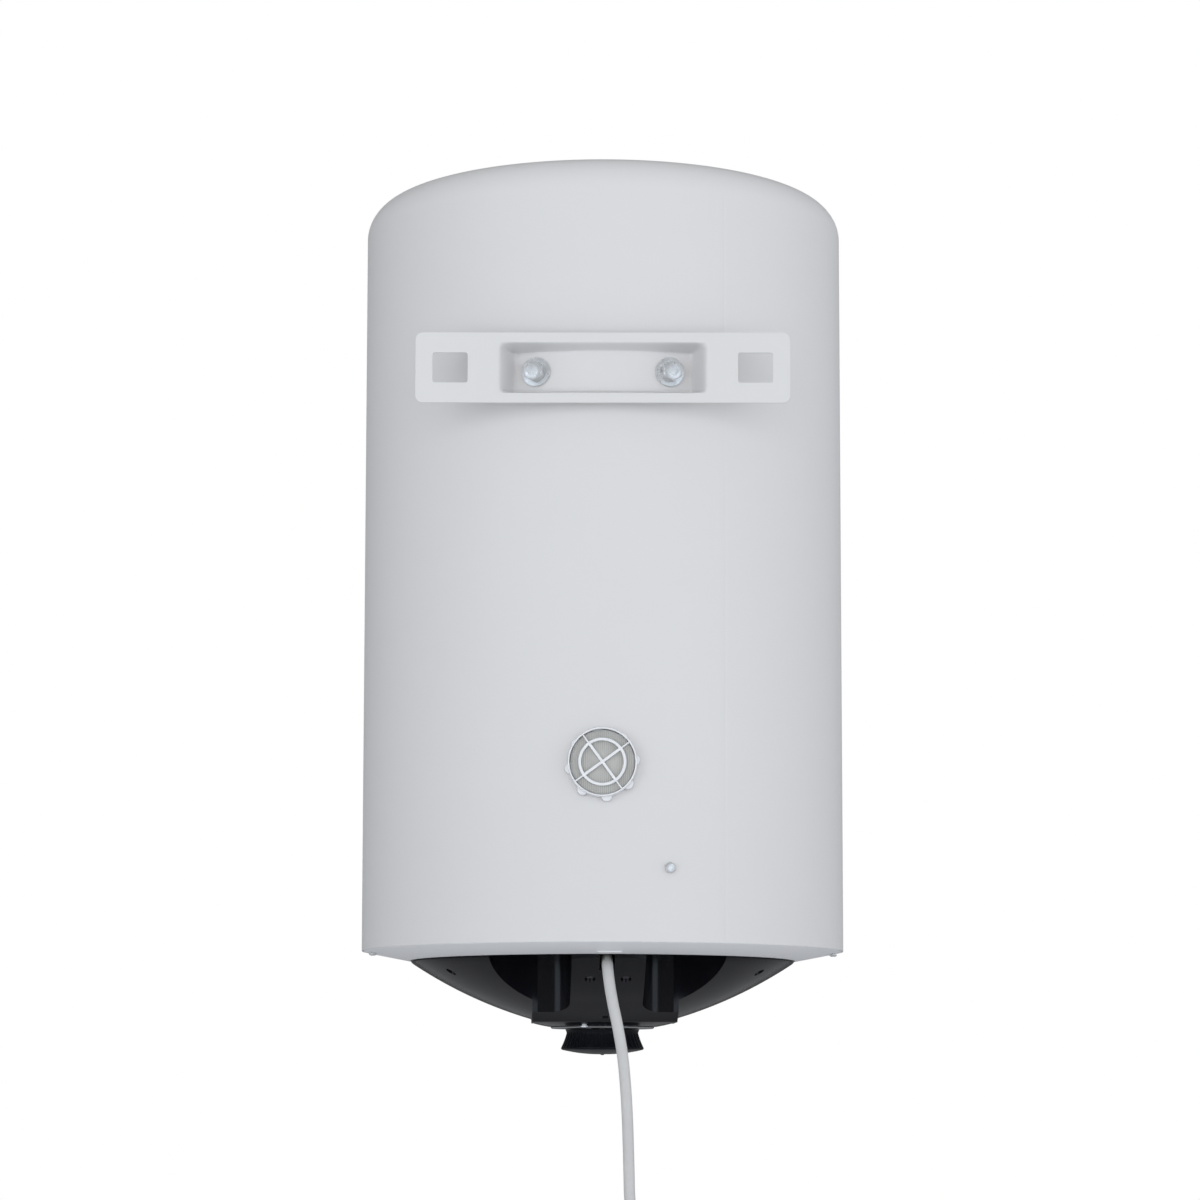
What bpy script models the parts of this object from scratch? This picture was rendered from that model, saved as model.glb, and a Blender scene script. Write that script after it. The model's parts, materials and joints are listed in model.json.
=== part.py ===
"""Wall-hung electric storage water heater, built as its separate pieces.

World frame: metres, +Z up, +Y towards the wall, origin on the wall plane midway between
the two hook holes of the wall bracket. Shapes are drawn in the heater's own frame, whose
origin is on the tank's axis at the bottom edge of the jacket.
"""
import math

import bmesh
import bpy
from mathutils import Matrix, Vector

# Jacket and where the heater hangs
JACKET_RADIUS = 0.225
JACKET_HEIGHT = 0.7076
JACKET_SHEET = 0.0008
SHOULDER_RADIUS = 0.032
TOP_OPENING = 0.168
AXIS_TO_WALL = 0.242
HOOK_HEIGHT = 0.507
COVER_TURN = math.radians(2)
GAP = 0.0004

# Wall bracket and its bolts
BRACKET_LENGTH = 0.332
BRACKET_HEIGHT = 0.0633
BRACKET_SHEET = 0.0025
BRACKET_CORNER = 0.0058
RECESS_LENGTH = 0.186
RECESS_HEIGHT = 0.0463
RECESS_END_SLOPE = 0.012
RECESS_SIDE_SLOPE = 0.0037
HOOK_HOLE_X = 0.1353
HOOK_HOLE = (0.0312, 0.027)
BOLT_ANGLE = math.radians(14.6)
BOLT_RADIUS = 0.0047
WASHER_RADIUS = 0.0132

# Foam filling port and the screw beside it
PORT_HEIGHT = 0.1572
PORT_RADIUS = 0.0303
PORT_STAND = 0.0116
PORT_INNER_RING = 0.0212
SCREW_HEIGHT = 0.0653
SCREW_ANGLE = math.radians(14.95)

# Tank, port and pipes
TANK_RADIUS = 0.185
TANK_SHEET = 0.002
TANK_LOW = 0.100
TANK_HIGH = 0.622
TANK_DOME = 0.050
PORT_BORE = 0.042
FLANGE_RADIUS = 0.058
FLANGE_BOLTS = 5
FLANGE_BOLT_CIRCLE = 0.050
PIPE_X = 0.050
PIPE_Y = 0.1045
PIPE_RADIUS = 0.0105
PIPE_BORE = 0.0075
PIPE_END = -0.005

# Bottom ring and cover
RING_INNER = 0.1795
RING_DROP = 0.0089
COVER_RADIUS = 0.1788
COVER_TOP = 0.0105
COVER_WALL = 0.0025
DOME_START = (0.1770, -0.01165)
DOME_MIDDLE = (0.1274, -0.0396)
DOME_END = (0.0695, -0.0619)
BOSS_RADIUS = 0.0668
BOSS_FLOOR = -0.0697
POCKET_ROOF = 0.008
CLAMP_SCREW_X = 0.0161
CLAMP_SCREW_Y = 0.147
NOTCH_X = 0.0015
COVER_SCREW_RADIUS = 0.161
COVER_SCREW_TURNS = (61, -61, 180)
RING_SCREW_RADIUS = 0.2155
RING_SCREW_TURNS = (83, -83, 172, -172)

# Thermostat knob
KNOB_TOP = -0.0722
KNOB_BORE = 0.0034
SPINDLE_RADIUS = 0.003
RESET_PLACE = (0.043, -0.002)

# Power cord, coil and plug
CORD_RADIUS = 0.005
COIL_RADIUS = 0.055
COIL_SECTION = 0.0122
COIL_CENTRE = (-0.0245, 0.185, -0.320)
PLUG_TOP = 0.0823
CORD_ROUTE = [
    (-0.0040, 0.1300, -0.0005),
    (-0.0041, 0.1480, -0.0062),
    (-0.0044, 0.1660, -0.0150),
    (-0.0052, 0.1785, -0.0247),
    (-0.0068, 0.1862, -0.0375),
    (-0.0095, 0.1893, -0.0530),
    (-0.0135, 0.1900, -0.0720),
    (-0.0180, 0.1895, -0.0980),
    (-0.0206, 0.1885, -0.1240),
    (-0.0222, 0.1875, -0.1500),
    (-0.0231, 0.1865, -0.1750),
    (-0.0238, 0.1855, -0.2000),
    (-0.0243, 0.1850, -0.2200),
    (-0.0257, 0.1850, -0.2320),
    (-0.0290, 0.1850, -0.2415),
    (-0.0345, 0.1850, -0.2488),
]

PAINT = ("white_paint", (0.80, 0.81, 0.83), 0.38, 0.0)
WHITE_PLASTIC = ("white_plastic", (0.82, 0.83, 0.84), 0.45, 0.0)
BLACK_PLASTIC = ("black_plastic", (0.022, 0.022, 0.026), 0.30, 0.0)
KNOB_PLASTIC = ("knob_plastic", (0.010, 0.011, 0.014), 0.38, 0.0)
STEEL = ("zinc_steel", (0.62, 0.62, 0.61), 0.32, 1.0)
TANK_STEEL = ("tank_enamel", (0.05, 0.09, 0.16), 0.30, 0.0)
FOAM = ("yellow_foam", (0.80, 0.70, 0.42), 0.90, 0.0)
PORT_FOAM = ("port_mesh", (0.36, 0.36, 0.35), 0.90, 0.0)
CHROME = ("silver_trim", (0.75, 0.75, 0.76), 0.20, 1.0)
COPPER = ("copper_sheath", (0.72, 0.42, 0.28), 0.35, 1.0)
MAGNESIUM = ("anode_metal", (0.55, 0.55, 0.54), 0.60, 1.0)
GASKET = ("black_rubber", (0.03, 0.03, 0.03), 0.70, 0.0)
PIPE_STEEL = ("pipe_steel", (0.66, 0.65, 0.62), 0.30, 1.0)
BLUE = ("blue_plastic", (0.03, 0.13, 0.55), 0.40, 0.0)
RED = ("red_plastic", (0.60, 0.03, 0.03), 0.40, 0.0)
CREAM = ("cream_plastic", (0.75, 0.70, 0.58), 0.45, 0.0)
LENS = ("lamp_lens", (0.85, 0.86, 0.88), 0.15, 0.0)
CORD_GREY = ("grey_cord", (0.66, 0.67, 0.69), 0.50, 0.0)
BRASS = ("plug_brass", (0.70, 0.62, 0.45), 0.25, 1.0)


def clear_scene():
    for obj in list(bpy.data.objects):
        bpy.data.objects.remove(obj, do_unlink=True)


def material(spec):
    name, colour, roughness, metallic = spec
    made = bpy.data.materials.get(name)
    if made:
        return made
    made = bpy.data.materials.new(name)
    made.use_nodes = True
    shader = made.node_tree.nodes["Principled BSDF"]
    shader.inputs["Base Color"].default_value = (*colour, 1)
    shader.inputs["Roughness"].default_value = roughness
    shader.inputs["Metallic"].default_value = metallic
    return made


def frame_empty(name, location, turn=0.0, parent=None):
    empty = bpy.data.objects.new(name, None)
    empty.location = location
    empty.rotation_euler = (0, 0, turn)
    empty.parent = parent
    bpy.context.collection.objects.link(empty)
    return empty


def place(name, mesh, spec, parent, at=(0, 0, 0), turn=(0, 0, 0), sharp=30):
    obj = bpy.data.objects.new(name, mesh)
    bpy.context.collection.objects.link(obj)
    obj.parent = parent
    obj.location = at
    obj.rotation_euler = turn
    if spec is None:
        obj.hide_render = True
        obj.display_type = "WIRE"
    else:
        mesh.materials.append(material(spec))
        mesh.shade_smooth()
        mesh.set_sharp_from_angle(angle=math.radians(sharp))
    return obj


def finished(bm, name):
    bmesh.ops.recalc_face_normals(bm, faces=bm.faces[:])
    mesh = bpy.data.meshes.new(name)
    bm.to_mesh(mesh)
    bm.free()
    return mesh


def arc(centre, radius, start, end, steps):
    """Points of an arc in a plane, angles in degrees."""
    angles = [math.radians(start + (end - start) * i / steps) for i in range(steps + 1)]
    return [(centre[0] + radius * math.cos(a), centre[1] + radius * math.sin(a)) for a in angles]


def arc_through(first, middle, last, steps):
    """Points of the arc that runs from first through middle to last."""
    (ax, ay), (bx, by), (cx, cy) = first, middle, last
    d = 2 * (ax * (by - cy) + bx * (cy - ay) + cx * (ay - by))
    a2, b2, c2 = ax * ax + ay * ay, bx * bx + by * by, cx * cx + cy * cy
    ux = (a2 * (by - cy) + b2 * (cy - ay) + c2 * (ay - by)) / d
    uy = (a2 * (cx - bx) + b2 * (ax - cx) + c2 * (bx - ax)) / d
    start = math.atan2(ay - uy, ax - ux)
    middle_turn = (math.atan2(by - uy, bx - ux) - start) % math.tau
    turn = (math.atan2(cy - uy, cx - ux) - start) % math.tau
    if middle_turn > turn:
        turn -= math.tau
    radius = math.hypot(ax - ux, ay - uy)
    ends = math.degrees(start), math.degrees(start + turn)
    return arc((ux, uy), radius, *ends, steps)


def lathe_mesh(name, outline, steps):
    """A solid turned about Z from a closed outline of (radius, height) points."""
    bm = bmesh.new()
    verts = [bm.verts.new((r, 0, z)) for r, z in outline]
    on_axis = outline[0][0] == 0 and outline[-1][0] == 0
    pairs = zip(verts, verts[1:] + ([] if on_axis else verts[:1]))
    edges = [bm.edges.new(pair) for pair in pairs]
    bmesh.ops.spin(bm, geom=verts + edges, axis=(0, 0, 1), cent=(0, 0, 0), angle=math.tau, steps=steps)
    bmesh.ops.remove_doubles(bm, verts=bm.verts[:], dist=1e-6)
    return finished(bm, name)


def lathe(name, outline, spec, parent, steps=48, at=(0, 0, 0), turn=(0, 0, 0), sharp=30):
    return place(name, lathe_mesh(name, outline, steps), spec, parent, at, turn, sharp)


def loft(name, sections, spec, parent, at=(0, 0, 0), turn=(0, 0, 0), sharp=30):
    """A closed solid through loops that all have the same number of points."""
    bm = bmesh.new()
    loops = [[bm.verts.new(p) for p in section] for section in sections]
    for low, high in zip(loops, loops[1:]):
        for i in range(len(low)):
            j = (i + 1) % len(low)
            bm.faces.new((low[i], low[j], high[j], high[i]))
    bm.faces.new(loops[0])
    bm.faces.new(loops[-1])
    return place(name, finished(bm, name), spec, parent, at, turn, sharp)


def ring_points(radius, z, count):
    return [(radius * math.cos(math.tau * i / count), radius * math.sin(math.tau * i / count), z)
            for i in range(count)]


def hex_points(across_flats, z):
    """Twelve points of a hexagon: its corners and the middles of its flats."""
    half = across_flats / 2
    radii = [half / math.cos(math.pi / 6), half] * 6
    return [(r * math.cos(math.tau * i / 12), r * math.sin(math.tau * i / 12), z)
            for i, r in enumerate(radii)]


def hex_bolt(name, flats, head, shank_radius, shank, spec, parent, at, turn=(0, 0, 0)):
    """A bolt along local Z, with the underside of its head at the origin."""
    sections = [
        ring_points(shank_radius, -shank, 12),
        ring_points(shank_radius, 0, 12),
        hex_points(flats, 0),
        hex_points(flats, head - 0.0009),
        ring_points(flats * 0.47, head, 12),
    ]
    return loft(name, sections, spec, parent, at, turn)


def pan_screw(name, head_radius, head, shank_radius, shank, spec, parent, at, turn=(0, 0, 0)):
    """A round-headed screw along local Z, with the underside of its head at the origin."""
    outline = [(0, -shank), (shank_radius, -shank), (shank_radius, 0), (head_radius, 0)]
    outline += [(head_radius, head * 0.35), (head_radius * 0.86, head * 0.75), (head_radius * 0.55, head)]
    outline += [(0, head)]
    return lathe(name, outline, spec, parent, 12, at, turn)


def prism(name, outline, low, high, spec, parent, at=(0, 0, 0), turn=(0, 0, 0)):
    """A closed solid with a flat outline in XY, between two heights."""
    sections = [[(x, y, z) for x, y in outline] for z in (low, high)]
    return loft(name, sections, spec, parent, at, turn)


def box(name, low, high, spec, parent, at=(0, 0, 0), turn=(0, 0, 0), bevel=0.0):
    bm = bmesh.new()
    size = Vector(high) - Vector(low)
    middle = (Vector(high) + Vector(low)) / 2
    matrix = Matrix.Translation(middle) @ Matrix.Diagonal((*size, 1))
    bmesh.ops.create_cube(bm, size=1, matrix=matrix)
    if bevel:
        bmesh.ops.bevel(bm, geom=bm.edges[:], offset=bevel, segments=2, affect="EDGES", profile=0.5)
    return place(name, finished(bm, name), spec, parent, at, turn)


def rounded_box(name, width, height, depth, corner, spec, parent, at=(0, 0, 0), turn=(0, 0, 0)):
    """A block along local Z with round corners, centred on the origin."""
    outline = []
    for x, y, start in ((1, 1, 0), (-1, 1, 90), (-1, -1, 180), (1, -1, 270)):
        centre = (x * (width / 2 - corner), y * (height / 2 - corner))
        outline += arc(centre, corner, start, start + 90, 3)
    return prism(name, outline, -depth / 2, depth / 2, spec, parent, at, turn)


def rod(name, radius, low, high, parent, at=(0, 0, 0), turn=(0, 0, 0), steps=24):
    """A plain round cutter along local Z."""
    return prism(name, [(x, y) for x, y, _ in ring_points(radius, 0, steps)], low, high,
                 None, parent, at, turn)


def boolean(obj, other, operation="DIFFERENCE"):
    modifier = obj.modifiers.new(operation.title(), "BOOLEAN")
    modifier.object = other
    modifier.operation = operation
    modifier.solver = "EXACT"
    return obj


def smooth_route(points, per_span):
    """Points read from a Catmull-Rom curve through the route."""
    ends = [2 * Vector(points[0]) - Vector(points[1])]
    ends += [Vector(p) for p in points] + [2 * Vector(points[-1]) - Vector(points[-2])]
    out = []
    for p0, p1, p2, p3 in zip(ends, ends[1:], ends[2:], ends[3:]):
        for i in range(per_span):
            t = i / per_span
            out.append(0.5 * (2 * p1 + (p2 - p0) * t + (2 * p0 - 5 * p1 + 4 * p2 - p3) * t ** 2
                              + (3 * p1 - p0 - 3 * p2 + p3) * t ** 3))
    return out + [ends[-2]]


def tube(name, points, radius, spec, parent, resolution=2):
    curve = bpy.data.curves.new(name, "CURVE")
    curve.dimensions = "3D"
    curve.bevel_depth = radius
    curve.bevel_resolution = resolution
    curve.use_fill_caps = True
    spline = curve.splines.new("POLY")
    spline.points.add(len(points) - 1)
    for point, place_at in zip(spline.points, points):
        point.co = (*place_at, 1)
    curve.materials.append(material(spec))
    obj = bpy.data.objects.new(name, curve)
    bpy.context.collection.objects.link(obj)
    obj.parent = parent
    return obj


def outward(angle, radius, z):
    """Place and turn of a piece that points out of the jacket, angle from the wall side."""
    at = (-radius * math.sin(angle), radius * math.cos(angle), z)
    return at, (-math.pi / 2, 0, angle)


def shell_outline(radius, height, shoulder, opening, sheet):
    """A thin wall with a round shoulder and an open flat top, as a closed outline."""
    outer = [(radius, 0)] + arc((radius - shoulder, height - shoulder), shoulder, 0, 90, 6)
    outer += [(opening, height)]
    inner = [(opening, height - sheet)]
    inner += arc((radius - shoulder, height - shoulder), shoulder - sheet, 90, 0, 6)
    return outer + inner + [(radius - sheet, 0)]


def outer_jacket(axis):
    outline = shell_outline(JACKET_RADIUS, JACKET_HEIGHT, SHOULDER_RADIUS, TOP_OPENING, JACKET_SHEET)
    jacket = lathe("outer_jacket", outline, PAINT, axis, 56)
    for side in (-1, 1):
        at, turn = outward(side * BOLT_ANGLE, JACKET_RADIUS, HOOK_HEIGHT)
        boolean(jacket, rod("cut_bolt", BOLT_RADIUS + 0.0008, -0.01, 0.01, axis, at, turn, 16))
    at, turn = outward(0, JACKET_RADIUS, PORT_HEIGHT)
    boolean(jacket, rod("cut_port", 0.025, -0.01, 0.01, axis, at, turn))
    at, turn = outward(SCREW_ANGLE, JACKET_RADIUS, SCREW_HEIGHT)
    boolean(jacket, rod("cut_screw", 0.0024, -0.01, 0.01, axis, at, turn, 12))


def top_cap(axis):
    top = JACKET_HEIGHT - JACKET_SHEET - GAP
    outline = [(0, top), (0.182, top), (0.182, top - JACKET_SHEET), (0, top - JACKET_SHEET)]
    lathe("top_cap", outline, PAINT, axis, 40)


def tank_outline(radius, dome):
    """Half outline of the tank from its bottom centre to its top centre."""
    low = [(radius * math.sin(a), TANK_LOW - dome * math.cos(a))
           for a in [math.radians(10 + 16 * i) for i in range(6)]]
    high = [(radius * math.cos(a), TANK_HIGH + dome * math.sin(a))
            for a in [math.radians(18 * i) for i in range(6)]]
    return low + high[:-1] + [(0, TANK_HIGH + dome)]


def inner_tank(axis, cover_axis):
    outer = tank_outline(TANK_RADIUS, TANK_DOME)
    inner = tank_outline(TANK_RADIUS - TANK_SHEET, TANK_DOME - TANK_SHEET)
    outer = [p for p in outer if p[0] > FLANGE_RADIUS or p[1] > TANK_LOW]
    inner = [p for p in inner if p[0] > PORT_BORE + 0.006 or p[1] > TANK_LOW]
    neck = [(PORT_BORE, 0.056), (PORT_BORE, 0.036), (FLANGE_RADIUS, 0.036), (FLANGE_RADIUS, 0.0535)]
    tank = lathe("inner_tank", neck + outer + inner[::-1], TANK_STEEL, axis, 24)
    for side in (-1, 1):
        at = (side * PIPE_X, PIPE_Y, 0)
        boolean(tank, rod("cut_pipe", PIPE_RADIUS + GAP, 0.03, 0.15, cover_axis, at, steps=16))
    for i in range(FLANGE_BOLTS):
        at = flange_bolt_place(i)
        boolean(tank, rod("cut_flange_bolt", 0.0028, 0.03, 0.0495, cover_axis, (*at, 0), steps=12))


def flange_bolt_place(index):
    angle = math.tau * index / FLANGE_BOLTS
    return (FLANGE_BOLT_CIRCLE * math.sin(angle), FLANGE_BOLT_CIRCLE * math.cos(angle))


def insulation_foam(axis, cover_axis):
    outer = JACKET_RADIUS - JACKET_SHEET - 2 * GAP
    top = JACKET_HEIGHT - 2 * JACKET_SHEET - 3 * GAP
    shoulder = SHOULDER_RADIUS - JACKET_SHEET - 2 * GAP
    outline = [(0.0785, 0.0150), (outer, 0.0150)]
    outline += arc((outer - shoulder, top - shoulder), shoulder, 0, 90, 4) + [(0, top)]
    cavity = tank_outline(TANK_RADIUS + GAP, TANK_DOME + GAP)
    outline += [p for p in cavity if p[0] > 0.0785 or p[1] > TANK_LOW][::-1]
    foam = lathe("insulation_foam", outline + [(0.0785, 0.0543)], FOAM, axis, 24)
    for side in (-1, 1):
        at, turn = outward(side * BOLT_ANGLE, JACKET_RADIUS, HOOK_HEIGHT)
        boolean(foam, rod("cut_boss", 0.0115, -0.06, 0.01, axis, at, turn, 16))
        at = (side * PIPE_X, PIPE_Y, 0)
        boolean(foam, rod("cut_foam_pipe", 0.0125, 0, 0.12, cover_axis, at, steps=16))
    at, turn = outward(0, JACKET_RADIUS, PORT_HEIGHT)
    boolean(foam, rod("cut_foam_port", 0.0252, -0.012, 0.01, axis, at, turn))
    at, turn = outward(SCREW_ANGLE, JACKET_RADIUS, SCREW_HEIGHT)
    boolean(foam, rod("cut_foam_screw", 0.0024, -0.016, 0.01, axis, at, turn, 12))


def ramp(value, width):
    t = min(1.0, max(0.0, value / width))
    return t * t * (3 - 2 * t)


def bracket_face(x, z, grow):
    """Height of one skin of the bracket over the tank's axis, grow being 0 or the sheet."""
    flat = AXIS_TO_WALL - grow
    ends = ramp(RECESS_LENGTH / 2 + grow - abs(x), RECESS_END_SLOPE)
    sides = ramp(RECESS_HEIGHT / 2 + grow - abs(z), RECESS_SIDE_SLOPE)
    floor = math.sqrt((JACKET_RADIUS + 0.003) ** 2 - min(abs(x), RECESS_LENGTH / 2) ** 2) - grow
    return flat + (floor - flat) * ends * sides


def wall_bracket(axis):
    half = [0, 0.0135, 0.027, 0.040, 0.054, 0.067, 0.079, 0.0835, 0.0865, 0.0895, 0.093, 0.0955, 0.119]
    xs = [-x for x in half[:0:-1]] + half
    xs = [-BRACKET_LENGTH / 2] + xs + [BRACKET_LENGTH / 2]
    half = [0.0065, 0.0195, 0.0207, 0.0220, 0.0232, 0.0244, 0.0257]
    zs = [-z for z in half[::-1]] + half
    zs = [-BRACKET_HEIGHT / 2] + zs + [BRACKET_HEIGHT / 2]
    bm = bmesh.new()
    skins = []
    for grow in (0, BRACKET_SHEET):
        skins.append([[bm.verts.new((x, bracket_face(x, z, grow), z)) for x in xs] for z in zs])
    for skin in skins:
        for low, high in zip(skin, skin[1:]):
            for i in range(len(xs) - 1):
                bm.faces.new((low[i], low[i + 1], high[i + 1], high[i]))
    rim = []
    for skin in skins:
        rim.append(skin[0] + [row[-1] for row in skin[1:]] + skin[-1][-2::-1]
                   + [row[0] for row in skin[-2:0:-1]])
    for i in range(len(rim[0])):
        j = (i + 1) % len(rim[0])
        bm.faces.new((rim[0][i], rim[0][j], rim[1][j], rim[1][i]))
    corners = [e for e in bm.edges if all(abs(abs(v.co.x) - BRACKET_LENGTH / 2) < 1e-6
               and abs(abs(v.co.z) - BRACKET_HEIGHT / 2) < 1e-6 for v in e.verts)]
    bmesh.ops.bevel(bm, geom=corners, offset=BRACKET_CORNER, segments=4, affect="EDGES", profile=0.5)
    bracket = place("wall_bracket", finished(bm, "wall_bracket"), PAINT, axis, (0, 0, HOOK_HEIGHT))
    for side in (-1, 1):
        at = (side * HOOK_HOLE_X, AXIS_TO_WALL, HOOK_HEIGHT)
        hole = rounded_box("cut_hook", *HOOK_HOLE, 0.02, 0.002, None, axis, at, (math.pi / 2, 0, 0))
        boolean(bracket, hole)
        at, turn = outward(side * BOLT_ANGLE, JACKET_RADIUS, HOOK_HEIGHT)
        boolean(bracket, rod("cut_bracket_bolt", 0.0054, -0.01, 0.01, axis, at, turn, 16))


def bracket_fixings(axis):
    for side, word in ((1, "left"), (-1, "right")):
        angle = side * BOLT_ANGLE
        at, turn = outward(angle, JACKET_RADIUS + 0.0036, HOOK_HEIGHT)
        washer = [(0.0054, 0), (WASHER_RADIUS, 0), (WASHER_RADIUS, 0.0014), (WASHER_RADIUS - 0.0006, 0.002)]
        lathe("bracket_washer_" + word, washer + [(0.0054, 0.002)], STEEL, axis, 24, at, turn)
        at, turn = outward(angle, JACKET_RADIUS + 0.0059, HOOK_HEIGHT)
        spring = [(0.0052, 0), (0.0090, 0), (0.0090, 0.0023), (0.0052, 0.0023)]
        lathe("bracket_spring_washer_" + word, spring, STEEL, axis, 20, at, turn)
        at, turn = outward(angle, JACKET_RADIUS + 0.0085, HOOK_HEIGHT)
        hex_bolt("bracket_bolt_" + word, 0.0165, 0.0064, BOLT_RADIUS, 0.030, STEEL, axis, at, turn)
        at, turn = outward(angle, TANK_RADIUS, HOOK_HEIGHT)
        boss_end = JACKET_RADIUS - JACKET_SHEET - 4 * GAP - TANK_RADIUS
        boss = [(0, GAP), (0.011, GAP), (0.011, boss_end), (0.0051, boss_end), (0.0051, 0.012), (0, 0.012)]
        lathe("mounting_boss_" + word, boss, STEEL, axis, 20, at, turn)


def foam_port(axis):
    at, turn = outward(0, JACKET_RADIUS + GAP, PORT_HEIGHT)
    wall = [(0.0220, 0), (PORT_RADIUS - 0.0012, 0), (PORT_RADIUS, 0), (PORT_RADIUS, PORT_STAND)]
    wall += [(PORT_RADIUS - 0.0012, PORT_STAND), (PORT_RADIUS - 0.0012, 0.0018), (0.0220, 0.0018)]
    cap = lathe("foam_port_cap", wall, WHITE_PLASTIC, axis, 32, at, turn)
    collar = [(0.0222, -0.0095), (0.0246, -0.0095), (0.0246, 0.0009), (0.0222, 0.0009)]
    boolean(cap, lathe("add_collar", collar, None, axis, 24, at, turn), "UNION")
    front = PORT_STAND - 0.0004
    back = front - 0.0024
    inner = [(PORT_INNER_RING - 0.0026, back), (PORT_INNER_RING, back)]
    inner += [(PORT_INNER_RING, front), (PORT_INNER_RING - 0.0026, front)]
    bars = 0.0004
    for number, (angle, reach, width) in enumerate(((36, 0.0190, 0.0024), (126, 0.0190, 0.0024),
                                                   (36, 0.0298, 0.0013), (126, 0.0298, 0.0013))):
        turned = (turn[0], math.radians(angle), turn[2])
        bars += 0.0001
        low = (-reach, -width / 2, back + bars)
        high = (reach, width / 2, front - bars)
        boolean(cap, box("add_bar%d" % number, low, high, None, axis, at, turned), "UNION")
    boolean(cap, lathe("add_inner_ring", inner, None, axis, 32, at, turn), "UNION")
    for number in range(8):
        angle = math.radians(7.5 + 45 * number)
        spot = (at[0] + 0.0287 * math.sin(angle), at[1], at[2] + 0.0287 * math.cos(angle))
        boolean(cap, rod("add_lobe%d" % number, 0.0047, 0.0003, 0.0052, axis, spot, turn, 12), "UNION")
    mesh = [(0, 0.0056), (0.0284, 0.0056), (0.0284, 0.0082), (0, 0.0082)]
    lathe("foam_port_mesh", mesh, PORT_FOAM, axis, 32, at, turn)


def jacket_screw(axis):
    at, turn = outward(SCREW_ANGLE, JACKET_RADIUS + GAP, SCREW_HEIGHT)
    hex_bolt("jacket_screw", 0.0085, 0.0032, 0.0019, 0.014, STEEL, axis, at, turn)


def cover_screw_angles():
    return [math.radians(a) for a in COVER_SCREW_TURNS]


def ring_screw_places():
    angles = [math.radians(a) for a in RING_SCREW_TURNS]
    return [(-RING_SCREW_RADIUS * math.sin(a), RING_SCREW_RADIUS * math.cos(a)) for a in angles]


def bottom_cap(cover_axis):
    out = JACKET_RADIUS - JACKET_SHEET - 2 * GAP
    outline = [(out, -0.0003), (out, 0.0120), (out - 0.0018, 0.0120), (out - 0.0018, 0.0018)]
    outline += [(RING_INNER + 0.0018, -RING_DROP + 0.0025), (RING_INNER + 0.0018, 0.0146)]
    outline += [(RING_INNER, 0.0146), (RING_INNER, -RING_DROP + 0.0004), (RING_INNER + 0.0006, -RING_DROP)]
    ring = lathe("bottom_cap", outline, WHITE_PLASTIC, cover_axis, 56)
    for number, angle in enumerate(cover_screw_angles()):
        low = (-0.009, 0.152, 0.0116)
        high = (0.009, 0.1805, 0.0143)
        tab = box("add_tab%d" % number, low, high, None, cover_axis, turn=(0, 0, angle))
        boolean(ring, tab, "UNION")
        spot = (-COVER_SCREW_RADIUS * math.sin(angle), COVER_SCREW_RADIUS * math.cos(angle), 0)
        boolean(ring, rod("cut_tab%d" % number, 0.0023, 0, 0.03, cover_axis, spot, steps=12))
    for number, (x, y) in enumerate(ring_screw_places()):
        boolean(ring, rod("cut_ring%d" % number, 0.0022, -0.02, 0.02, cover_axis, (x, y, 0), steps=12))
    pad = box("add_pad", (-0.011, 0.1845, -0.0086), (0.011, 0.1925, -0.0030), None, cover_axis)
    boolean(ring, pad, "UNION")
    for number, (x, y) in enumerate(ring_screw_places()):
        pan_screw("bottom_cap_screw_%d" % (number + 1), 0.0036, 0.0018, 0.0018, 0.011, STEEL,
                  cover_axis, (x, y, -0.0029), (math.pi, 0, 0))


def dome_outline(inset):
    """Outside of the cover, or its inside at one wall thickness, from rim to centre."""
    dome = arc_through(DOME_START, DOME_MIDDLE, DOME_END, 6)
    if not inset:
        boss = [(BOSS_RADIUS, -0.0627), (0.0662, -0.0652), (0.0645, -0.0667), (0.0573, -0.0684)]
        return [(0, COVER_TOP), (COVER_RADIUS, COVER_TOP), (COVER_RADIUS, -0.0100)] + dome[:-1] + boss + [
            (0.0505, BOSS_FLOOR), (0, BOSS_FLOOR)]
    lifted = [(r - inset * 0.45, z + inset * 0.9) for r, z in dome]
    return [(0, 0.03), (COVER_RADIUS - inset, 0.03), (COVER_RADIUS - inset, -0.0090)] + lifted + [
        (0.050, BOSS_FLOOR + inset), (0, BOSS_FLOOR + inset)]


def panel_outline(inset):
    """Side view, as (across, height), of the raised panel between rim and boss."""
    dome = arc_through(DOME_START, DOME_MIDDLE, DOME_END, 6)
    back = [(r + 0.0006 - inset * 0.45, z - 0.0002 + inset * 0.9) for r, z in dome]
    top = 0.03 if inset else 0.004
    foot = BOSS_FLOOR + 0.0030 + inset
    back = [p for p in back if p[1] > foot + 0.003]
    return [(0.0, top), (back[0][0], top)] + back + [(0.0705 - inset, foot + 0.0016),
                                                    (0.0685 - inset, foot), (0.0, foot)]


def panel_block(name, inset, cover_axis):
    """The raised panel's block, drawn as a side view and carried across."""
    half = BOSS_RADIUS - 0.0003 - inset
    outline = panel_outline(inset)
    sections = [[(x, y, z) for y, z in outline] for x in (-half, half)]
    block = loft(name, sections, None, cover_axis)
    limit = rod(name + "_limit", COVER_RADIUS - 0.0002 - inset, -0.09, 0.05, cover_axis, steps=60)
    return boolean(block, limit, "INTERSECT")


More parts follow.
